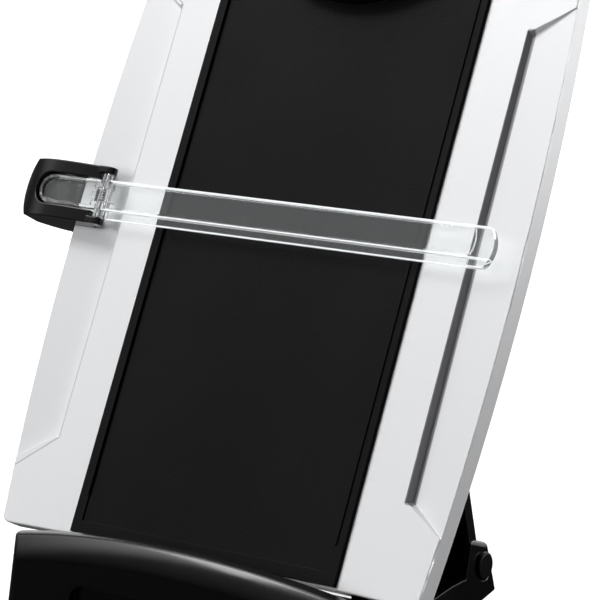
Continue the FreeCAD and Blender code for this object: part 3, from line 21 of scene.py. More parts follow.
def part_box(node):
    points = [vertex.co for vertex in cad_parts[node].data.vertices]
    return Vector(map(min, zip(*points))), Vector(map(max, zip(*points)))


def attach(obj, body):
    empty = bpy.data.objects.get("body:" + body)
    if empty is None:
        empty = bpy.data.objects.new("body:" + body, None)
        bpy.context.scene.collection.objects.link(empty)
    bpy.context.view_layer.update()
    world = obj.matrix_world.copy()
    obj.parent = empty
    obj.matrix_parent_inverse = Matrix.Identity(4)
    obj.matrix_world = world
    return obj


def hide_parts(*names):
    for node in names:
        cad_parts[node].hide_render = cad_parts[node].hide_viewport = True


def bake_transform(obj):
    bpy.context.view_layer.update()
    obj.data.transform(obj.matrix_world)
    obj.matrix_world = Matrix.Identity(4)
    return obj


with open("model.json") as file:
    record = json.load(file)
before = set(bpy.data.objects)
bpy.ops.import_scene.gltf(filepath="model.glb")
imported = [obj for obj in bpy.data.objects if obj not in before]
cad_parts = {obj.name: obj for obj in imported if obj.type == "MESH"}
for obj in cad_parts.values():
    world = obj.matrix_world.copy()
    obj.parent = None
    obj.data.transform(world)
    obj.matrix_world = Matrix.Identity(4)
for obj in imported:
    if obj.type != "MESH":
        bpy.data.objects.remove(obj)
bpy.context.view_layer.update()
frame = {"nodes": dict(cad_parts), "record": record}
slot_of = {part["node"]: part["material_slot"] for part in frame["record"]["subparts"]}

# %% [markdown]
# The camera stands in front of the board, to its right and a little above it, far enough back to
# keep the edges nearly parallel. A long lens then fills a square picture with the board. Only the
# place, the aim and the lens are set: the picture's own size is left to whoever renders it.

# %% Place the camera
camera_place = Vector((0.6956, -1.0046, 0.4232))
camera_aim = Vector((0.0175, 0.0097, 0.1509))
camera = bpy.data.objects.new("camera", bpy.data.cameras.new("camera"))
camera.data.lens = 160.5
camera.data.sensor_width = 36
camera.location = camera_place
camera.rotation_euler = (camera_aim - camera_place).to_track_quat("-Z", "Y").to_euler()
bpy.context.scene.collection.objects.link(camera)
bpy.context.scene.camera = camera
print("camera", round((camera_aim - camera_place).length, 3), "m from the board")

# %% [markdown]
# A finish is a small formula: noise times a strength, plus a base value, mixed by a mask. Written
# node by node that takes a page, so one class wraps an output socket and gives it the signs of
# arithmetic. Each sign adds one Math node. Its `node` method adds any other node: settings come
# first, because they can change which sockets a node has, and then values or other wires.

# %% Write shader formulas with ordinary signs
class Wire:
    def __init__(self, tree, socket=None):
        self.tree = tree
        self.socket = socket

    def node(self, kind, inputs=None, output=0, **settings):
        made = self.tree.nodes.new(kind)
        for name, value in settings.items():
            setattr(made, name, value)
        for name, value in (inputs or {}).items():
            if isinstance(value, Wire):
                self.tree.links.new(value.socket, made.inputs[name])
            else:
                made.inputs[name].default_value = value
        return Wire(self.tree, made.outputs[output])

    def math(self, operation, *terms):
        return self.node("ShaderNodeMath", dict(enumerate(terms)), operation=operation)

    def __add__(self, other):
        return self.math("ADD", self, other)

    def __sub__(self, other):
        return self.math("SUBTRACT", self, other)

    def __mul__(self, other):
        return self.math("MULTIPLY", self, other)

    def __pow__(self, other):
        return self.math("POWER", self, other)

    def __radd__(self, other):
        return self.math("ADD", other, self)

    def __rsub__(self, other):
        return self.math("SUBTRACT", other, self)

    def __rmul__(self, other):
        return self.math("MULTIPLY", other, self)

    def __neg__(self):
        return self * -1

    def __abs__(self):
        return self.math("ABSOLUTE", self)

    def at_least(self, other):
        return self.math("MAXIMUM", self, other)

    def part(self, axis):
        """One number of a vector: its X, Y or Z."""
        return self.node("ShaderNodeSeparateXYZ", {0: self}, output=axis)

    def ramp(self, low, high):
        """0 below low, 1 above high, a straight slope between."""
        return self.node("ShaderNodeMapRange", {"Value": self, "From Min": low, "From Max": high})

    def blend(self, first, second):
        """A colour between two, by this wire."""
        inputs = {0: self, 6: first, 7: second}
        return self.node("ShaderNodeMix", inputs, output=2, data_type="RGBA")


# %% [markdown]
# Every finish begins the same way: a Principled shader whose constant values sit on its own
# sockets, and Object coordinates for its patterns. Object coordinates are metres in the model's own
# frame, so a noise of 3000 waves to the metre is a grain of 0.3 mm on every piece.

# %% Start a finish
finishes = {}


def start_finish(name, **constants):
    material = bpy.data.materials.new(name)
    material.use_nodes = True
    tree = material.node_tree
    shader = tree.nodes["Principled BSDF"]
    for socket, value in constants.items():
        shader.inputs[socket.replace("_", " ")].default_value = value
    place = Wire(tree).node("ShaderNodeTexCoord", output="Object")
    finishes[name] = material
    return shader, place


def noise(place, scale, detail=2.0, roughness=0.5, stretch=(1, 1, 1)):
    spread = place.node("ShaderNodeVectorMath", {0: place, 1: stretch}, operation="MULTIPLY")
    inputs = {"Vector": spread, "Scale": scale, "Detail": detail, "Roughness": roughness}
    return place.node("ShaderNodeTexNoise", inputs)


def drive(shader, **wires):
    for socket, wire in wires.items():
        wire.tree.links.new(wire.socket, shader.inputs[socket.replace("_", " ")])


def bump(height, strength, distance, edge=0.0003):
    """A height as a normal, laid on edges that look broken by a small radius."""
    softened = height.node("ShaderNodeBevel", {"Radius": edge}, samples=6)
    return height.node("ShaderNodeBump", {"Height": height, "Strength": strength,
                                          "Distance": distance, "Normal": softened})


# %% [markdown]
# The base, the slider and the clip's lever are ABS moulded in a polished tool. Polished black
# plastic is nearly black, and what shows is its reflection: long soft ripples from the cooling
# plastic, and the faint haze of fingerprints, which is only a change of roughness. The front of the
# base also curves back a little towards its arched lip. That crown is too shallow to be worth a denser
# mesh, so it is a height that falls with the square of the way to the lip, laid in the normals.

# %% Polished black plastic
LIP_TOP = 0.0485
LIP_DROP, LIP_REACH = 0.0123, 0.1028
LIP_FRONT, LIP_FRONT_FULL = 0.060, 0.064
CROWN = 0.0155
CROWN_TILT = 0.8
RIPPLE_HEIGHT = 0.00005
POLISHED_BLACK, DUST_GREY = (0.0022, 0.0022, 0.0025, 1), (0.012, 0.012, 0.0125, 1)

shader, place = start_finish("black_gloss", IOR=1.5, Specular_IOR_Level=0.45)
haze = noise(place, scale=38, detail=4, roughness=0.6).ramp(0.42, 0.75)
wipe = noise(place, scale=260, stretch=(1, 0.15, 0.6)).ramp(0.55, 0.8)
ripple = noise(place, scale=90, detail=1)
dust = noise(place, scale=2600, detail=0).ramp(0.76, 0.8)
x, y, z = (place.part(axis) for axis in "XYZ")
lip_edge = LIP_TOP - x * x * (LIP_DROP / LIP_REACH ** 2)
near_edge = (z - lip_edge + CROWN).at_least(0) * (-y).ramp(LIP_FRONT, LIP_FRONT_FULL)
crown = near_edge * near_edge * (-0.5 * CROWN_TILT / CROWN)
drive(shader,
      Base_Color=dust.blend(POLISHED_BLACK, DUST_GREY),
      Roughness=0.15 + haze * 0.05 + wipe * 0.03,
      Normal=bump(ripple * RIPPLE_HEIGHT + crown, strength=1.0, distance=1.0, edge=0.0009))
print("black_gloss", len(shader.id_data.nodes), "nodes")

# %% [markdown]
# The leg, the covers, the rail and the slider's shoe come out of a spark-eroded tool, which leaves a
# fine even stipple. It scatters the light, so the black turns slightly grey and edges catch no sharp
# highlight.

# %% Satin black plastic
SATIN_DARK, SATIN_PALE = (0.0022, 0.0022, 0.0024, 1), (0.0042, 0.0042, 0.0045, 1)

shader, place = start_finish("black_satin", IOR=1.5, Specular_IOR_Level=0.1)
stipple = noise(place, scale=2400)
cloud = noise(place, scale=26, detail=3)
drive(shader,
      Base_Color=cloud.blend(SATIN_DARK, SATIN_PALE),
      Roughness=0.36 + cloud * 0.12,
      Normal=bump(stipple, strength=0.25, distance=0.00012))
print("black_satin", len(shader.id_data.nodes), "nodes")

# %% [markdown]
# The centre panel is a separate sheet with a leather-like grain, so that paper doesn't slide on it.
# Rounded cells less than half a millimetre wide make the grain, and a slower noise makes some of
# the cells a little paler and shinier, as where papers have rubbed.

# %% Grained black panel
PANEL_BLACK, PANEL_RUBBED = (0.0055, 0.0055, 0.006, 1), (0.0075, 0.0075, 0.0082, 1)

shader, place = start_finish("black_matte", IOR=1.5, Specular_IOR_Level=0.06)
cell = place.node("ShaderNodeTexVoronoi", {"Vector": place, "Scale": 2300})
rub = noise(place, scale=14, detail=3).ramp(0.35, 0.7)
drive(shader,
      Base_Color=rub.blend(PANEL_BLACK, PANEL_RUBBED),
      Roughness=0.5 - rub * 0.05,
      Normal=bump(1 - cell, strength=0.35, distance=0.00018))
print("black_matte", len(shader.id_data.nodes), "nodes")

# %% [markdown]
# The board is moulded in grey and sprayed with silver lacquer. Flakes little more than a tenth of a
# millimetre wide lie at slightly different angles under a satin clear coat, which is why it looks
# white where the light falls on it and grey where it turns away. Part metal and part pale pigment
# gives that turn.
#
# Each wing of the board folds where its facet starts. The fold runs straight up the wing and turns
# outwards near both ends. Shade is painted into it, darkening the silver: a thin line on the left
# wing, and a coat over a narrow wall, along the straight part, on the right. So the mask needs to know
# how far up the leaning board a point lies, which is a sum of its Y and its Z.

# %% Silver lacquer
LEAN = math.radians(27.67)
UP = (math.sin(LEAN), math.cos(LEAN))
BOARD_FOOT = (-0.04814, 0.03602)
FOLD_LOW, FOLD_HIGH = 0.044, 0.271
FOLD_ACROSS = 0.0986
FOLD_TURN = 1.25
LINE_SHARP, LINE_FADED = 0.0003, 0.0009
WALL_WIDTH, WALL_BLUR = 0.0033, 0.0003
WALL_ENDS, WALL_GONE = 0.0002, 0.0008
SILVER_DARK, SILVER_PALE = (0.79, 0.795, 0.81, 1), (0.86, 0.865, 0.875, 1)
PAINTED_SHADE_GREY = (0.2, 0.2, 0.21, 1)


def up_the_board(place):
    """How far up the board a point lies, in metres from its foot."""
    return (place.part("Y") - BOARD_FOOT[0]) * UP[0] + (place.part("Z") - BOARD_FOOT[1]) * UP[1]


shader, place = start_finish("silver_plastic", IOR=1.5, Coat_Weight=0.15, Coat_Roughness=0.25)
flake = place.node("ShaderNodeTexVoronoi", {"Vector": place, "Scale": 7000}, output="Color")
tone = flake.node("ShaderNodeSeparateColor", {"Color": flake})
peel = noise(place, scale=520, detail=1)
cloud = noise(place, scale=9)
up = up_the_board(place)
past_end = (FOLD_LOW - up).at_least(0) + (up - FOLD_HIGH).at_least(0)
fold = FOLD_ACROSS + past_end * FOLD_TURN
# Painted shade: a thin dark line along the fold of the left wing, where shade falls in the crease.
line = 1 - abs(-place.part("X") - fold).ramp(LINE_SHARP, LINE_FADED)
beyond = place.part("X") - fold
# Painted shade: a dark coat over the narrow wall of the right wing's fold, which turns away from the
# light.
painted_wall_shade = beyond.ramp(-WALL_BLUR, WALL_BLUR)
painted_wall_shade = painted_wall_shade * (1 - beyond.ramp(WALL_WIDTH - WALL_BLUR, WALL_WIDTH + WALL_BLUR))
painted_wall_shade = painted_wall_shade * (1 - past_end.ramp(WALL_ENDS, WALL_GONE))
silver = (tone * 0.7 + cloud * 0.3).blend(SILVER_DARK, SILVER_PALE)
drive(shader,
      # The two painted shade masks darken the silver towards a dark grey.
      Base_Color=(line * 0.5 + painted_wall_shade * 0.9).blend(silver, PAINTED_SHADE_GREY),
      Metallic=0.1 + tone * 0.12,
      Roughness=0.38 + cloud * 0.06,
      Normal=bump(peel + tone * 0.4, strength=0.1, distance=0.0001, edge=0.0005))
print("silver_plastic", len(shader.id_data.nodes), "nodes")

# %% [markdown]
# The line guide is clear acrylic. Clear plastic shows its edges more than its faces. A faint haze
# lies on it, where it rubs the paper, and that is a small share of pale scattering mixed over the
# clear shader. A highlight is painted on the two rims of the guide's channel and on the edge of the
# flange below it: there the share is large and glows a little.
#
# A path tracer seldom finds the light that clear plastic lets through, so its shadow comes out too
# dark. For shadow rays and scattered light most of the guide is therefore plain transparent.

# %% Clear acrylic
GUIDE_RIMS = (0.17245, 0.15765, 0.1535)
RIM_SHARP, RIM_FADED = 0.0002, 0.0006
RIM_START, RIM_FULL = -0.1040, -0.1030
PAINTED_RIM_GLOW, NO_GLOW = (0.55, 0.57, 0.58, 1), (0, 0, 0, 1)
ACRYLIC, HAZE, CLEAR_TINT = (0.975, 0.985, 0.985, 1), (0.85, 0.87, 0.88, 1), (0.96, 0.97, 0.97, 1)
CLEAR_SHARE = 0.9

shader, place = start_finish("clear_plastic", IOR=1.49, Transmission_Weight=1.0, Base_Color=ACRYLIC)
scratch = noise(place, scale=900, detail=3, stretch=(0.12, 1, 1)).ramp(0.55, 0.8)
drive(shader, Roughness=0.015 + scratch * 0.06)
up = up_the_board(place)
# Painted highlight: thin pale glowing lines along the channel's two rims and the flange edge.
painted_rim_highlight = sum(1 - abs(up - rim).ramp(RIM_SHARP, RIM_FADED) for rim in GUIDE_RIMS)
painted_rim_highlight = painted_rim_highlight * place.part("X").ramp(RIM_START, RIM_FULL)
haze_and_painted_glow = place.node("ShaderNodeBsdfPrincipled", {
    "Base Color": HAZE, "Roughness": 0.5,
    "Emission Color": painted_rim_highlight.blend(NO_GLOW, PAINTED_RIM_GLOW), "Emission Strength": 1.0})
tree = shader.id_data
# The mix share is the real haze plus the painted rim highlight.
haze_and_highlight_share = 0.04 + scratch * 0.03 + painted_rim_highlight * 0.6
acrylic = haze_and_highlight_share.node("ShaderNodeMixShader", {0: haze_and_highlight_share, 1: Wire(tree, shader.outputs[0]), 2: haze_and_painted_glow})
clear = place.node("ShaderNodeBsdfTransparent", {"Color": CLEAR_TINT})
lit = (place.node("ShaderNodeLightPath", output="Is Shadow Ray")
       + place.node("ShaderNodeLightPath", output="Is Diffuse Ray")) * CLEAR_SHARE
whole = lit.node("ShaderNodeMixShader", {0: lit, 1: acrylic, 2: clear})
tree.links.new(whole.socket, tree.nodes["Material Output"].inputs["Surface"])
print("clear_plastic", len(tree.nodes), "nodes")

# %% [markdown]
# Rubber and felt are soft and dull. Rubber has a fine skin with a little bloom, and felt is a tangle
# of fibres, made here by one noise stretched two ways.

# %% Rubber and felt
RUBBER_BLACK, RUBBER_BLOOM = (0.018, 0.018, 0.018, 1), (0.045, 0.045, 0.044, 1)
FELT_DARK, FELT_PALE = (0.03, 0.03, 0.033, 1), (0.1, 0.1, 0.105, 1)

shader, place = start_finish("rubber", IOR=1.5, Roughness=0.78)
bloom = noise(place, scale=160, detail=4).ramp(0.4, 0.75)
drive(shader,
      Base_Color=bloom.blend(RUBBER_BLACK, RUBBER_BLOOM),
      Normal=bump(noise(place, scale=3200), strength=0.4, distance=0.0001))

shader, place = start_finish("felt", Roughness=0.95, Sheen_Weight=0.4, Sheen_Roughness=0.5)
fibre = (noise(place, scale=1500, detail=4, stretch=(1, 0.2, 1))
         + noise(place, scale=1500, detail=4, stretch=(0.2, 1, 1)))
drive(shader,
      Base_Color=fibre.ramp(0.7, 1.3).blend(FELT_DARK, FELT_PALE),
      Normal=bump(fibre, strength=0.6, distance=0.0003))
print("rubber and felt")

# %% [markdown]
# Screws are zinc plated, pins are ground and springs are drawn. All three are metal, and differ in
# the direction and the depth of the marks left by how they were made.

# %% Steel
def steel(name, colour, polish, marks, stretch, depth):
    shader, place = start_finish(name, Metallic=1.0)
    line = noise(place, scale=marks, detail=3, stretch=stretch)
    stain = noise(place, scale=420).ramp(0.5, 0.85)
    dull = tuple(channel * 0.7 for channel in colour[:3]) + (1,)
    drive(shader,
          Base_Color=stain.blend(colour, dull),
          Roughness=polish + line * 0.14,
          Normal=bump(line, strength=0.3, distance=depth))


steel("screw_steel", (0.60, 0.60, 0.61, 1), polish=0.26, marks=3000, stretch=(1, 1, 1), depth=0.00004)
steel("pin_steel", (0.62, 0.62, 0.63, 1), polish=0.16, marks=5000, stretch=(0.05, 1, 1), depth=0.00003)
steel("spring_steel", (0.50, 0.50, 0.52, 1), polish=0.22, marks=5000, stretch=(1, 1, 1), depth=0.00003)
print(len(finishes), "finishes")

# %% [markdown]
# A CAD node keeps its mesh and takes its finish from the slot that the record gives it.

# %% Finish the CAD nodes
for node, piece in frame["nodes"].items():
    piece.data.materials.clear()
    piece.data.materials.append(finishes[slot_of[node]])
print("finished", len(frame["nodes"]), "nodes")

# %% [markdown]
# Small things repeat on the holder: screws, the ribs of the clip and the marks of ejector pins. Each
# kind gets one Geometry Nodes tree, and each tree ends in the same way. It sets a copy on every point
# of a small mesh, turns it to the direction stored with that point, makes the copies real, because an
# export drops instances, and gives them their finish.

# %% Start and end a Geometry Nodes tree
class Tree:
    """A Geometry Nodes group in the making: named inputs, and nodes wired by value or socket."""

    def __init__(self, name, sizes):
        self.group = bpy.data.node_groups.new(name, "GeometryNodeTree")
        sockets = self.group.interface
        sockets.new_socket("Geometry", in_out="INPUT", socket_type="NodeSocketGeometry")
        sockets.new_socket("Geometry", in_out="OUTPUT", socket_type="NodeSocketGeometry")
        self.keys = {}
        for size, value in sizes.items():
            socket = sockets.new_socket(size, in_out="INPUT", socket_type="NodeSocketFloat")
            socket.default_value = value
            self.keys[size] = socket.identifier
        key = sockets.new_socket("Finish", in_out="INPUT", socket_type="NodeSocketMaterial")
        self.keys["Finish"] = key.identifier
        self.entry = self.group.nodes.new("NodeGroupInput").outputs
        self.exit = self.group.nodes.new("NodeGroupOutput").inputs

    def add(self, kind, inputs, **settings):
        made = self.group.nodes.new(kind)
        for name, value in settings.items():
            setattr(made, name, value)
        for name, value in inputs.items():
            several = value if isinstance(value, list) else [value]
            for item in several:
                if isinstance(item, bpy.types.NodeSocket):
                    self.group.links.new(item, made.inputs[name])
                else:
                    made.inputs[name].default_value = item
        return made.outputs[0]

    def times(self, first, second):
        return self.add("ShaderNodeMath", {0: first, 1: second}, operation="MULTIPLY")

    def over(self, first, second):
        return self.add("ShaderNodeMath", {0: first, 1: second}, operation="DIVIDE")

    def vector(self, x=0.0, y=0.0, z=0.0):
        return self.add("ShaderNodeCombineXYZ", {"X": x, "Y": y, "Z": z})

    def box(self, x, y, z):
        return self.add("GeometryNodeMeshCube", {"Size": self.vector(x, y, z)})

    def lift(self, geometry, height):
        """The geometry moved along Z."""
        moved = {"Geometry": geometry, "Translation": self.vector(z=height)}
        return self.add("GeometryNodeTransform", moved)

    def set_on_points(self, geometry):
        """End the tree with one turned, real, finished copy on each point."""
        aim = self.add("GeometryNodeInputNamedAttribute", {"Name": "aim"}, data_type="FLOAT_VECTOR")
        turned = self.add("FunctionNodeAlignRotationToVector", {"Vector": aim}, axis="Z")
        copies = self.add("GeometryNodeInstanceOnPoints", {
            "Points": self.entry["Geometry"], "Instance": geometry, "Rotation": turned})
        real = self.add("GeometryNodeRealizeInstances", {"Geometry": copies})
        shown = self.add("GeometryNodeSetMaterial", {"Geometry": real, "Material": self.entry["Finish"]})
        self.group.links.new(shown, self.exit["Geometry"])
        print(self.group.name, len(self.group.nodes), "nodes")


# %% [markdown]
# A screw is a pan head with a crossed slot over a threaded shank. The holder has seventeen of them in
# five lengths, and the tree makes them all from named sizes. The head is a flattened ball. One
# boolean cuts it off at its seat and takes out the cross too. The thread is a thin helix round the
# shank, a little shorter than it. The block that cuts the ball off and the slots are shares of the
# head's radius, and the thread's length and thickness are shares of the shank's length and the pitch.

# %% Build the screw tree
BLOCK_WIDE, SLOT_LONG, SLOT_WIDE = 3.0, 1.15, 0.24
THREAD_LONG, THREAD_THICK = 0.94, 0.14

screw = Tree("pan_head_screw", {"Head Radius": 0.0026, "Head Height": 0.0012, "Shank Radius": 0.0012,
                                "Shank Length": 0.009, "Thread Pitch": 0.0008})
size = screw.entry
ball = screw.add("GeometryNodeMeshUVSphere", {"Segments": 28, "Rings": 16, "Radius": size["Head Radius"]})
flat = screw.vector(1.0, 1.0, screw.over(size["Head Height"], size["Head Radius"]))
dome = screw.add("GeometryNodeTransform", {"Geometry": ball, "Scale": flat})
block = screw.times(size["Head Radius"], BLOCK_WIDE)
below = screw.lift(screw.box(block, block, block), screw.times(block, -0.5))
slot_long = screw.times(size["Head Radius"], SLOT_LONG)
slot_wide = screw.times(size["Head Radius"], SLOT_WIDE)
slots = [screw.lift(screw.box(x, y, size["Head Height"]), size["Head Height"])
         for x, y in ((slot_long, slot_wide), (slot_wide, slot_long))]
head = screw.add("GeometryNodeMeshBoolean", {"Mesh 1": dome, "Mesh 2": [below] + slots},
                 operation="DIFFERENCE")
core = screw.add("GeometryNodeMeshCylinder", {
    "Vertices": 20, "Radius": size["Shank Radius"], "Depth": size["Shank Length"]})
core = screw.lift(core, screw.times(size["Shank Length"], -0.5))
helix = screw.add("GeometryNodeCurveSpiral", {
    "Resolution": 18, "Rotations": screw.over(size["Shank Length"], size["Thread Pitch"]),
    "Start Radius": size["Shank Radius"], "End Radius": size["Shank Radius"],
    "Height": screw.times(size["Shank Length"], -THREAD_LONG)})
ridge = screw.add("GeometryNodeCurvePrimitiveCircle", {
    "Resolution": 6, "Radius": screw.times(size["Thread Pitch"], THREAD_THICK)})
thread = screw.add("GeometryNodeCurveToMesh", {"Curve": helix, "Profile Curve": ridge, "Fill Caps": True})
screw.set_on_points(screw.add("GeometryNodeJoinGeometry", {"Geometry": [head, core, thread]}))

# %% [markdown]
# A tree runs as a modifier on a mesh of points. The input of a modifier is set by its identifier, not
# by its name. What comes out is kept as a plain mesh, so that no modifier is left when the piece is
# given to its body, and the meshes for one body are joined. Edges sharper than an angle stay sharp,
# and the rest is shaded smooth.

# %% Turn points into a piece
SHARP_FROM = math.radians(35)


def points_mesh(name, places, aims):
    mesh = bpy.data.meshes.new(name)
    mesh.from_pydata(places, [], [])
    mesh.attributes.new("aim", "FLOAT_VECTOR", "POINT").data.foreach_set(
        "vector", [number for aim in aims for number in aim])
    return mesh


def grow(points, tree, **sizes):
    """Run a Geometry Nodes tree on points and keep the plain mesh that comes out."""
    piece = bpy.data.objects.new("grown", points)
    bpy.context.scene.collection.objects.link(piece)
    modifier = piece.modifiers.new(tree.group.name, "NODES")
    modifier.node_group = tree.group
    for name, value in sizes.items():
        modifier[tree.keys[name.replace("_", " ")]] = value
    bpy.context.view_layer.update()
    graph = bpy.context.evaluated_depsgraph_get()
    mesh = bpy.data.meshes.new_from_object(piece.evaluated_get(graph))
    bpy.data.objects.remove(piece)
    return mesh


def join(name, meshes, finish):
    """One object, with one finish, from several plain meshes."""
    work = bmesh.new()
    for mesh in meshes:
        work.from_mesh(mesh)
    bmesh.ops.recalc_face_normals(work, faces=work.faces)
    whole = bpy.data.meshes.new(name)
    work.to_mesh(whole)
    work.free()
    whole.materials.append(finishes[finish])
    whole.polygons.foreach_set("use_smooth", [True] * len(whole.polygons))
    whole.polygons.foreach_set("material_index", [0] * len(whole.polygons))
    whole.set_sharp_from_angle(angle=SHARP_FROM)
    piece = bpy.data.objects.new(name, whole)
    bpy.context.scene.collection.objects.link(piece)
    return piece


# %% [markdown]
# Where each screw sits, and which way it points, is read from the CAD solids that it stands for. Each
# solid is one island of the node's mesh. The corners far from its axis belong to the head, and the
# end that they are nearer to is the end that the head points to.

# %% Find the screws
HEAD_CLEARS = 0.002
SAME_CORNER = 0.00001


def islands(node):
    """The corners of each separate solid of a CAD node."""
    work = bmesh.new()
    work.from_mesh(frame["nodes"][node].data)
    bmesh.ops.remove_doubles(work, verts=work.verts, dist=SAME_CORNER)
    found, seen = [], set()
    for first in work.verts:
        if first in seen:
            continue
        solid, queue = [], [first]
        seen.add(first)
        while queue:
            corner = queue.pop()
            solid.append(corner.co.copy())
            for edge in corner.link_edges:
                other = edge.other_vert(corner)
                if other not in seen:
                    seen.add(other)
                    queue.append(other)
        found.append(solid)
    work.free()
    return found


def screw_seat(corners, axis):
    """Where the head meets the shank, which way the head points, and the shank's length."""
    along = [corner.dot(axis) for corner in corners]
    low, high = min(along), max(along)
    middle = sum(corners, Vector()) / len(corners)
    centre = middle - axis * middle.dot(axis)
    reach = [(corner - axis * corner.dot(axis) - centre).length for corner in corners]
    head = [level for level, radius in zip(along, reach) if radius > HEAD_CLEARS]
    if sum(head) / len(head) > (low + high) / 2:
        return centre + axis * min(head), axis, min(head) - low
    return centre + axis * max(head), -axis, high - max(head)


length = screw_seat(islands("base_screws")[0], Vector((0, 0, 1)))[2]
print("a base screw is", round(length * 1000, 1), "mm long under its head")

# %% [markdown]
# The screws of the base stand upright, and those of the board and the slider stand square to the
# board. All the screws on one body become one piece, which replaces their plain CAD nodes.

# %% Set the screws
OUT = Vector((0, -UP[1], UP[0]))
FASTENERS = {
    "base": {"base_screws": Vector((0, 0, 1))},
    "board": {"back_cover_screws": OUT, "rail_screws": OUT, "clip_bracket_screws": OUT},
    "carriage": {"carriage_screws": OUT},
}
for body, rows in FASTENERS.items():
    meshes, count = [], 0
    for node, axis in rows.items():
        seats = [screw_seat(corners, axis) for corners in islands(node)]
        points = points_mesh(node, [seat[0] for seat in seats], [seat[1] for seat in seats])
        length = min(seat[2] for seat in seats)
        meshes.append(grow(points, screw, Shank_Length=length, Finish=finishes["screw_steel"]))
        count += len(seats)
    piece = join(body + "_fasteners", meshes, "screw_steel")
    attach(piece, body)
    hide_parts(*rows)
    print(piece.name, count, "screws", len(piece.data.polygons), "faces")

# %% [markdown]
# A thumb presses the top of the clip to open it, so the moulding has a row of low ribs there. One rib
# is a thin round bar, half sunk in the plate, and a line of points up the board carries its copies.
# The plate is polished, and its ribs are satin. A place on the board is easiest to give across it, up
# it and out of its front.

# %% Rib the clip
RIB_COUNT, RIB_PITCH = 5, 0.0026
FIRST_RIB, PLATE_TOP = 0.3165, 0.00945

rib = Tree("grip_ribs", {"Length": 0.036, "Radius": 0.0007})
size = rib.entry
bar = rib.add("GeometryNodeCurvePrimitiveLine", {
    "Start": rib.vector(x=rib.times(size["Length"], -0.5)),
    "End": rib.vector(x=rib.times(size["Length"], 0.5))})
profile = rib.add("GeometryNodeCurvePrimitiveCircle", {"Resolution": 20, "Radius": size["Radius"]})
rib.set_on_points(rib.add("GeometryNodeCurveToMesh", {
    "Curve": bar, "Profile Curve": profile, "Fill Caps": True}))


def on_board(across, up, out):
    """A place on the board: across it, up it and out of its front, in metres."""
    return Vector((across, BOARD_FOOT[0] + up * UP[0] - out * UP[1],
                   BOARD_FOOT[1] + up * UP[1] + out * UP[0]))


places = [on_board(0, FIRST_RIB + RIB_PITCH * number, PLATE_TOP) for number in range(RIB_COUNT)]
points = points_mesh("rib_points", places, [OUT] * RIB_COUNT)
ribs = join("clip_ribs", [grow(points, rib, Finish=finishes["black_satin"])], "black_satin")
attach(ribs, "clip")
print("clip_ribs", len(ribs.data.polygons), "faces")

# %% [markdown]
# The pins that push a moulding out of its tool leave round marks on the sides that nobody looks at.
# Each mark has a low rim, and that rim is all that is made here: a thin ring, half sunk in the face.
# A ray shot at the solid finds the place and the slope of the face for each ring, so the rings lie
# flat wherever the part is.

# %% Press the ejector marks into the hidden faces
STAND_OFF = 0.1
FACES_THE_RAY = -0.9
MARKS = {
    "base": ((-0.07, 0.0, 0.07), (-0.03, 0.01)),
    "board": ((-0.08, 0.0, 0.08), (0.07, 0.16, 0.25)),
    "leg": ((-0.06, 0.06), (0.05, 0.09, 0.13)),
}

ring = Tree("ejector_marks", {"Radius": 0.0032, "Wire": 0.00022})
size = ring.entry
loop = ring.add("GeometryNodeCurvePrimitiveCircle", {"Resolution": 36, "Radius": size["Radius"]})
profile = ring.add("GeometryNodeCurvePrimitiveCircle", {"Resolution": 8, "Radius": size["Wire"]})
ring.set_on_points(ring.add("GeometryNodeCurveToMesh", {"Curve": loop, "Profile Curve": profile}))


def marks_on(node, body, starts, direction):
    """Rings on the face of a node that rays from the starts meet first."""
    mesh = frame["nodes"][node].data
    solid = BVHTree.FromPolygons([corner.co for corner in mesh.vertices],
                                 [face.vertices for face in mesh.polygons])
    hits = [solid.ray_cast(start, direction)[:2] for start in starts]
    hits = [(spot, slope) for spot, slope in hits if spot and slope.dot(direction) < FACES_THE_RAY]
    points = points_mesh(node + "_marks", [spot for spot, slope in hits], [slope for spot, slope in hits])
    piece = join(body + "_ejector_marks", [grow(points, ring, Finish=finishes[slot_of[node]])],
                 slot_of[node])
    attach(piece, body)
    print(piece.name, len(hits), "marks", len(piece.data.polygons), "faces")


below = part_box("base_bottom_plate")[0].z - STAND_OFF
starts = [Vector((x, y, below)) for x, y in product(*MARKS["base"])]
marks_on("base_bottom_plate", "base", starts, Vector((0, 0, 1)))
starts = [on_board(across, up, -STAND_OFF) for across, up in product(*MARKS["board"])]
marks_on("board_back_cover", "board", starts, OUT)
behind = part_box("support_leg")[1].y + STAND_OFF
starts = [Vector((x, behind, z)) for x, z in product(*MARKS["leg"])]
marks_on("support_leg", "leg", starts, Vector((0, -1, 0)))

# %% [markdown]
# Two torsion springs close the clip and press the guide on the page. One end of each coil rests on
# the fixed part and the other on the moving one, and the turns between share the twist. Here each
# spring is a plain copy of its CAD coil in spring steel, and the CAD node is hidden.

# %% Wind the springs
CLIP_COIL_HALF = Vector((0.0040, 0, 0))
GUIDE_COIL_ACROSS, GUIDE_COIL_OUT = -0.1075, 0.0067
GUIDE_COIL_TOP, GUIDE_COIL_FOOT = 0.1670, 0.1630


def wound_spring(node, name, fixed, moving, start, end):
    mesh = frame["nodes"][node].data.copy()
    mesh.materials.clear()
    mesh.materials.append(finishes["spring_steel"])
    piece = bpy.data.objects.new(name, mesh)
    bpy.context.scene.collection.objects.link(piece)
    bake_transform(piece)
    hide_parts(node)
    print(name, "from", fixed, "to", moving)


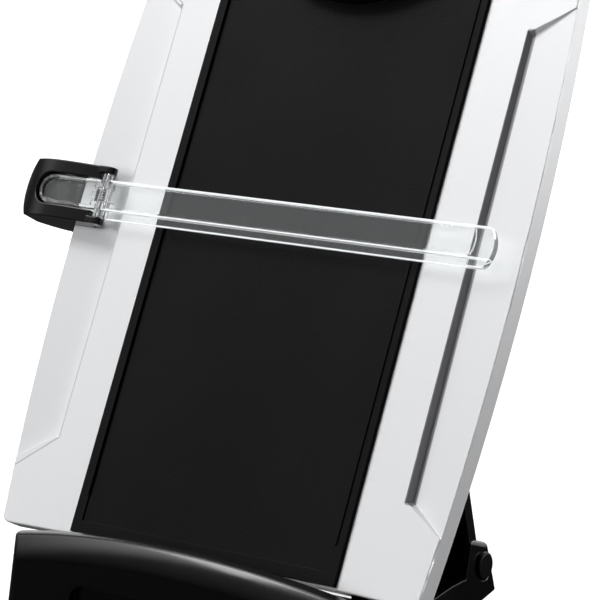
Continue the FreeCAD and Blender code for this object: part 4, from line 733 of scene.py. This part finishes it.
low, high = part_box("clip_spring")
middle = (low + high) / 2
wound_spring("clip_spring", "clip_coil", "board", "clip",
             middle - CLIP_COIL_HALF, middle + CLIP_COIL_HALF)
wound_spring("guide_spring", "guide_coil", "carriage", "line_guide",
             on_board(GUIDE_COIL_ACROSS, GUIDE_COIL_TOP, GUIDE_COIL_OUT),
             on_board(GUIDE_COIL_ACROSS, GUIDE_COIL_FOOT, GUIDE_COIL_OUT))

# %% [markdown]
# The studio is a pale floor that turns up into a pale wall far behind. To the camera and through
# clear plastic it is white. To the lamps it is plain grey paper, so that the object keeps its shadow
# and little light comes back on it. Polished black would mirror a white floor as a milky sheen, so a
# reflection sees dark paper near the object, which turns white only towards the wall.

# %% Build the floor and the wall
PAPER, MIRRORED_PAPER = (0.15, 0.15, 0.15, 1), (0.05, 0.05, 0.05, 1)
SEEN_PAPER, SEEN_GLOW = (0.45, 0.45, 0.45, 1), (0.9, 0.9, 0.9, 1)
TURNS_WHITE, ALL_WHITE = 0.6, 1.8
HALF_WIDE, FRONT_END, BACK_END, WALL_HEIGHT = 6.0, -4.0, 4.0, 4.0
TURN_RADIUS, TURN_STEPS = 1.0, 16


def rays(wire):
    """Three wires that are 1 for a ray of the camera, of a reflection or through clear plastic."""
    return [wire.node("ShaderNodeLightPath", output="Is " + kind + " Ray")
            for kind in ("Camera", "Glossy", "Transmission")]


shader, place = start_finish("studio_paper", Roughness=0.9, Specular_IOR_Level=0.0, Emission_Strength=1.0)
direct, mirrored, through = rays(place)
seen = (direct + mirrored * place.part("Y").ramp(TURNS_WHITE, ALL_WHITE) + through).ramp(0, 1)
drive(shader,
      Base_Color=seen.blend(mirrored.blend(PAPER, MIRRORED_PAPER), SEEN_PAPER),
      Emission_Color=seen.blend(NO_GLOW, SEEN_GLOW))

outline = [(FRONT_END, 0.0), (BACK_END - TURN_RADIUS, 0.0)]
for step in range(1, TURN_STEPS + 1):
    angle = math.pi / 2 * step / TURN_STEPS
    outline.append((BACK_END - TURN_RADIUS + TURN_RADIUS * math.sin(angle),
                    TURN_RADIUS - TURN_RADIUS * math.cos(angle)))
outline.append((BACK_END, WALL_HEIGHT))
corners = [(side * HALF_WIDE, y, z) for y, z in outline for side in (-1, 1)]
faces = [(i, i + 1, i + 3, i + 2) for i in range(0, len(corners) - 2, 2)]
paper_mesh = bpy.data.meshes.new("studio_paper")
paper_mesh.from_pydata(corners, [], faces)
paper_mesh.polygons.foreach_set("use_smooth", [True] * len(faces))
paper_mesh.materials.append(finishes["studio_paper"])
paper = bpy.data.objects.new("studio_paper", paper_mesh)
bpy.context.scene.collection.objects.link(paper)
print("studio", HALF_WIDE * 2, "m wide")

# %% [markdown]
# Polished black plastic shows little but the room that it mirrors, so the world is that room, drawn
# by the direction in which a reflection looks. A bright card stands high on the left, which draws the
# light line on the base's lip, and the front and the rear of the room are dim. The camera sees white,
# and so does clear plastic towards the rear. For all other rays the room is almost black, because the
# lamps do the lighting.

# %% Hang the room
CARD_LIGHT, FRONT_LIGHT, REAR_LIGHT, LEAST_LIGHT = 4.5, 0.3, 0.25, 0.01

world = bpy.data.worlds.new("studio_room")
bpy.context.scene.world = world
world.use_nodes = True
sky = world.node_tree.nodes["Background"]
heading = Wire(world.node_tree).node("ShaderNodeTexCoord", output="Generated")
right, back, up = (heading.part(axis) for axis in "XYZ")
direct, mirrored, through = rays(heading)
rear = back.ramp(-0.1, 0.5)
beside = back.ramp(-0.6, -0.35) * (1 - back.ramp(0.1, 0.4)) * (1 - right.ramp(-0.3, 0.1))
card = up.ramp(0.0, 0.6) ** 1.3 * beside * right.ramp(-1.0, -0.4)
front = up.ramp(0.02, 0.6) * (-back).ramp(0.1, 0.5)
room = card * CARD_LIGHT + front * FRONT_LIGHT + rear * REAR_LIGHT
bright = room * mirrored + direct + through * rear + LEAST_LIGHT
sky.inputs["Color"].default_value = (1, 1, 1, 1)
world.node_tree.links.new(bright.socket, sky.inputs["Strength"])
print("room", len(world.node_tree.nodes), "nodes")

# %% [markdown]
# Four soft lamps. A wide one high on the left draws the form and the guide's shadow. A lower one, also
# on the left, fills, and polished faces don't see it. A small one on the right lights the board's
# right edge, and one behind shows the form of the leg and the back.

# %% Hang the lamps
def soft_lamp(name, place, aim, size, power, gloss=True):
    lamp = bpy.data.lights.new(name, "AREA")
    lamp.shape = "RECTANGLE"
    lamp.size, lamp.size_y = size
    lamp.energy = power
    held = bpy.data.objects.new(name, lamp)
    held.location = place
    held.rotation_euler = (Vector(aim) - Vector(place)).to_track_quat("-Z", "Y").to_euler()
    held.visible_glossy = gloss
    bpy.context.scene.collection.objects.link(held)


soft_lamp("key", place=(-2.4, -2.0, 5.3), aim=(0, 0, 0.15), size=(2.5, 2.5), power=170)
soft_lamp("fill", place=(-2.1, -3.9, 1.6), aim=(0, 0, 0.15), size=(2.4, 2.0), power=122, gloss=False)
soft_lamp("rim", place=(1.2, 1.0, 0.5), aim=(0.1, 0, 0.2), size=(0.6, 0.6), power=15)
soft_lamp("back", place=(-1.6, 3.4, 2.2), aim=(0, 0, 0.12), size=(2.2, 1.6), power=90)
bpy.context.scene.view_settings.view_transform = "Standard"
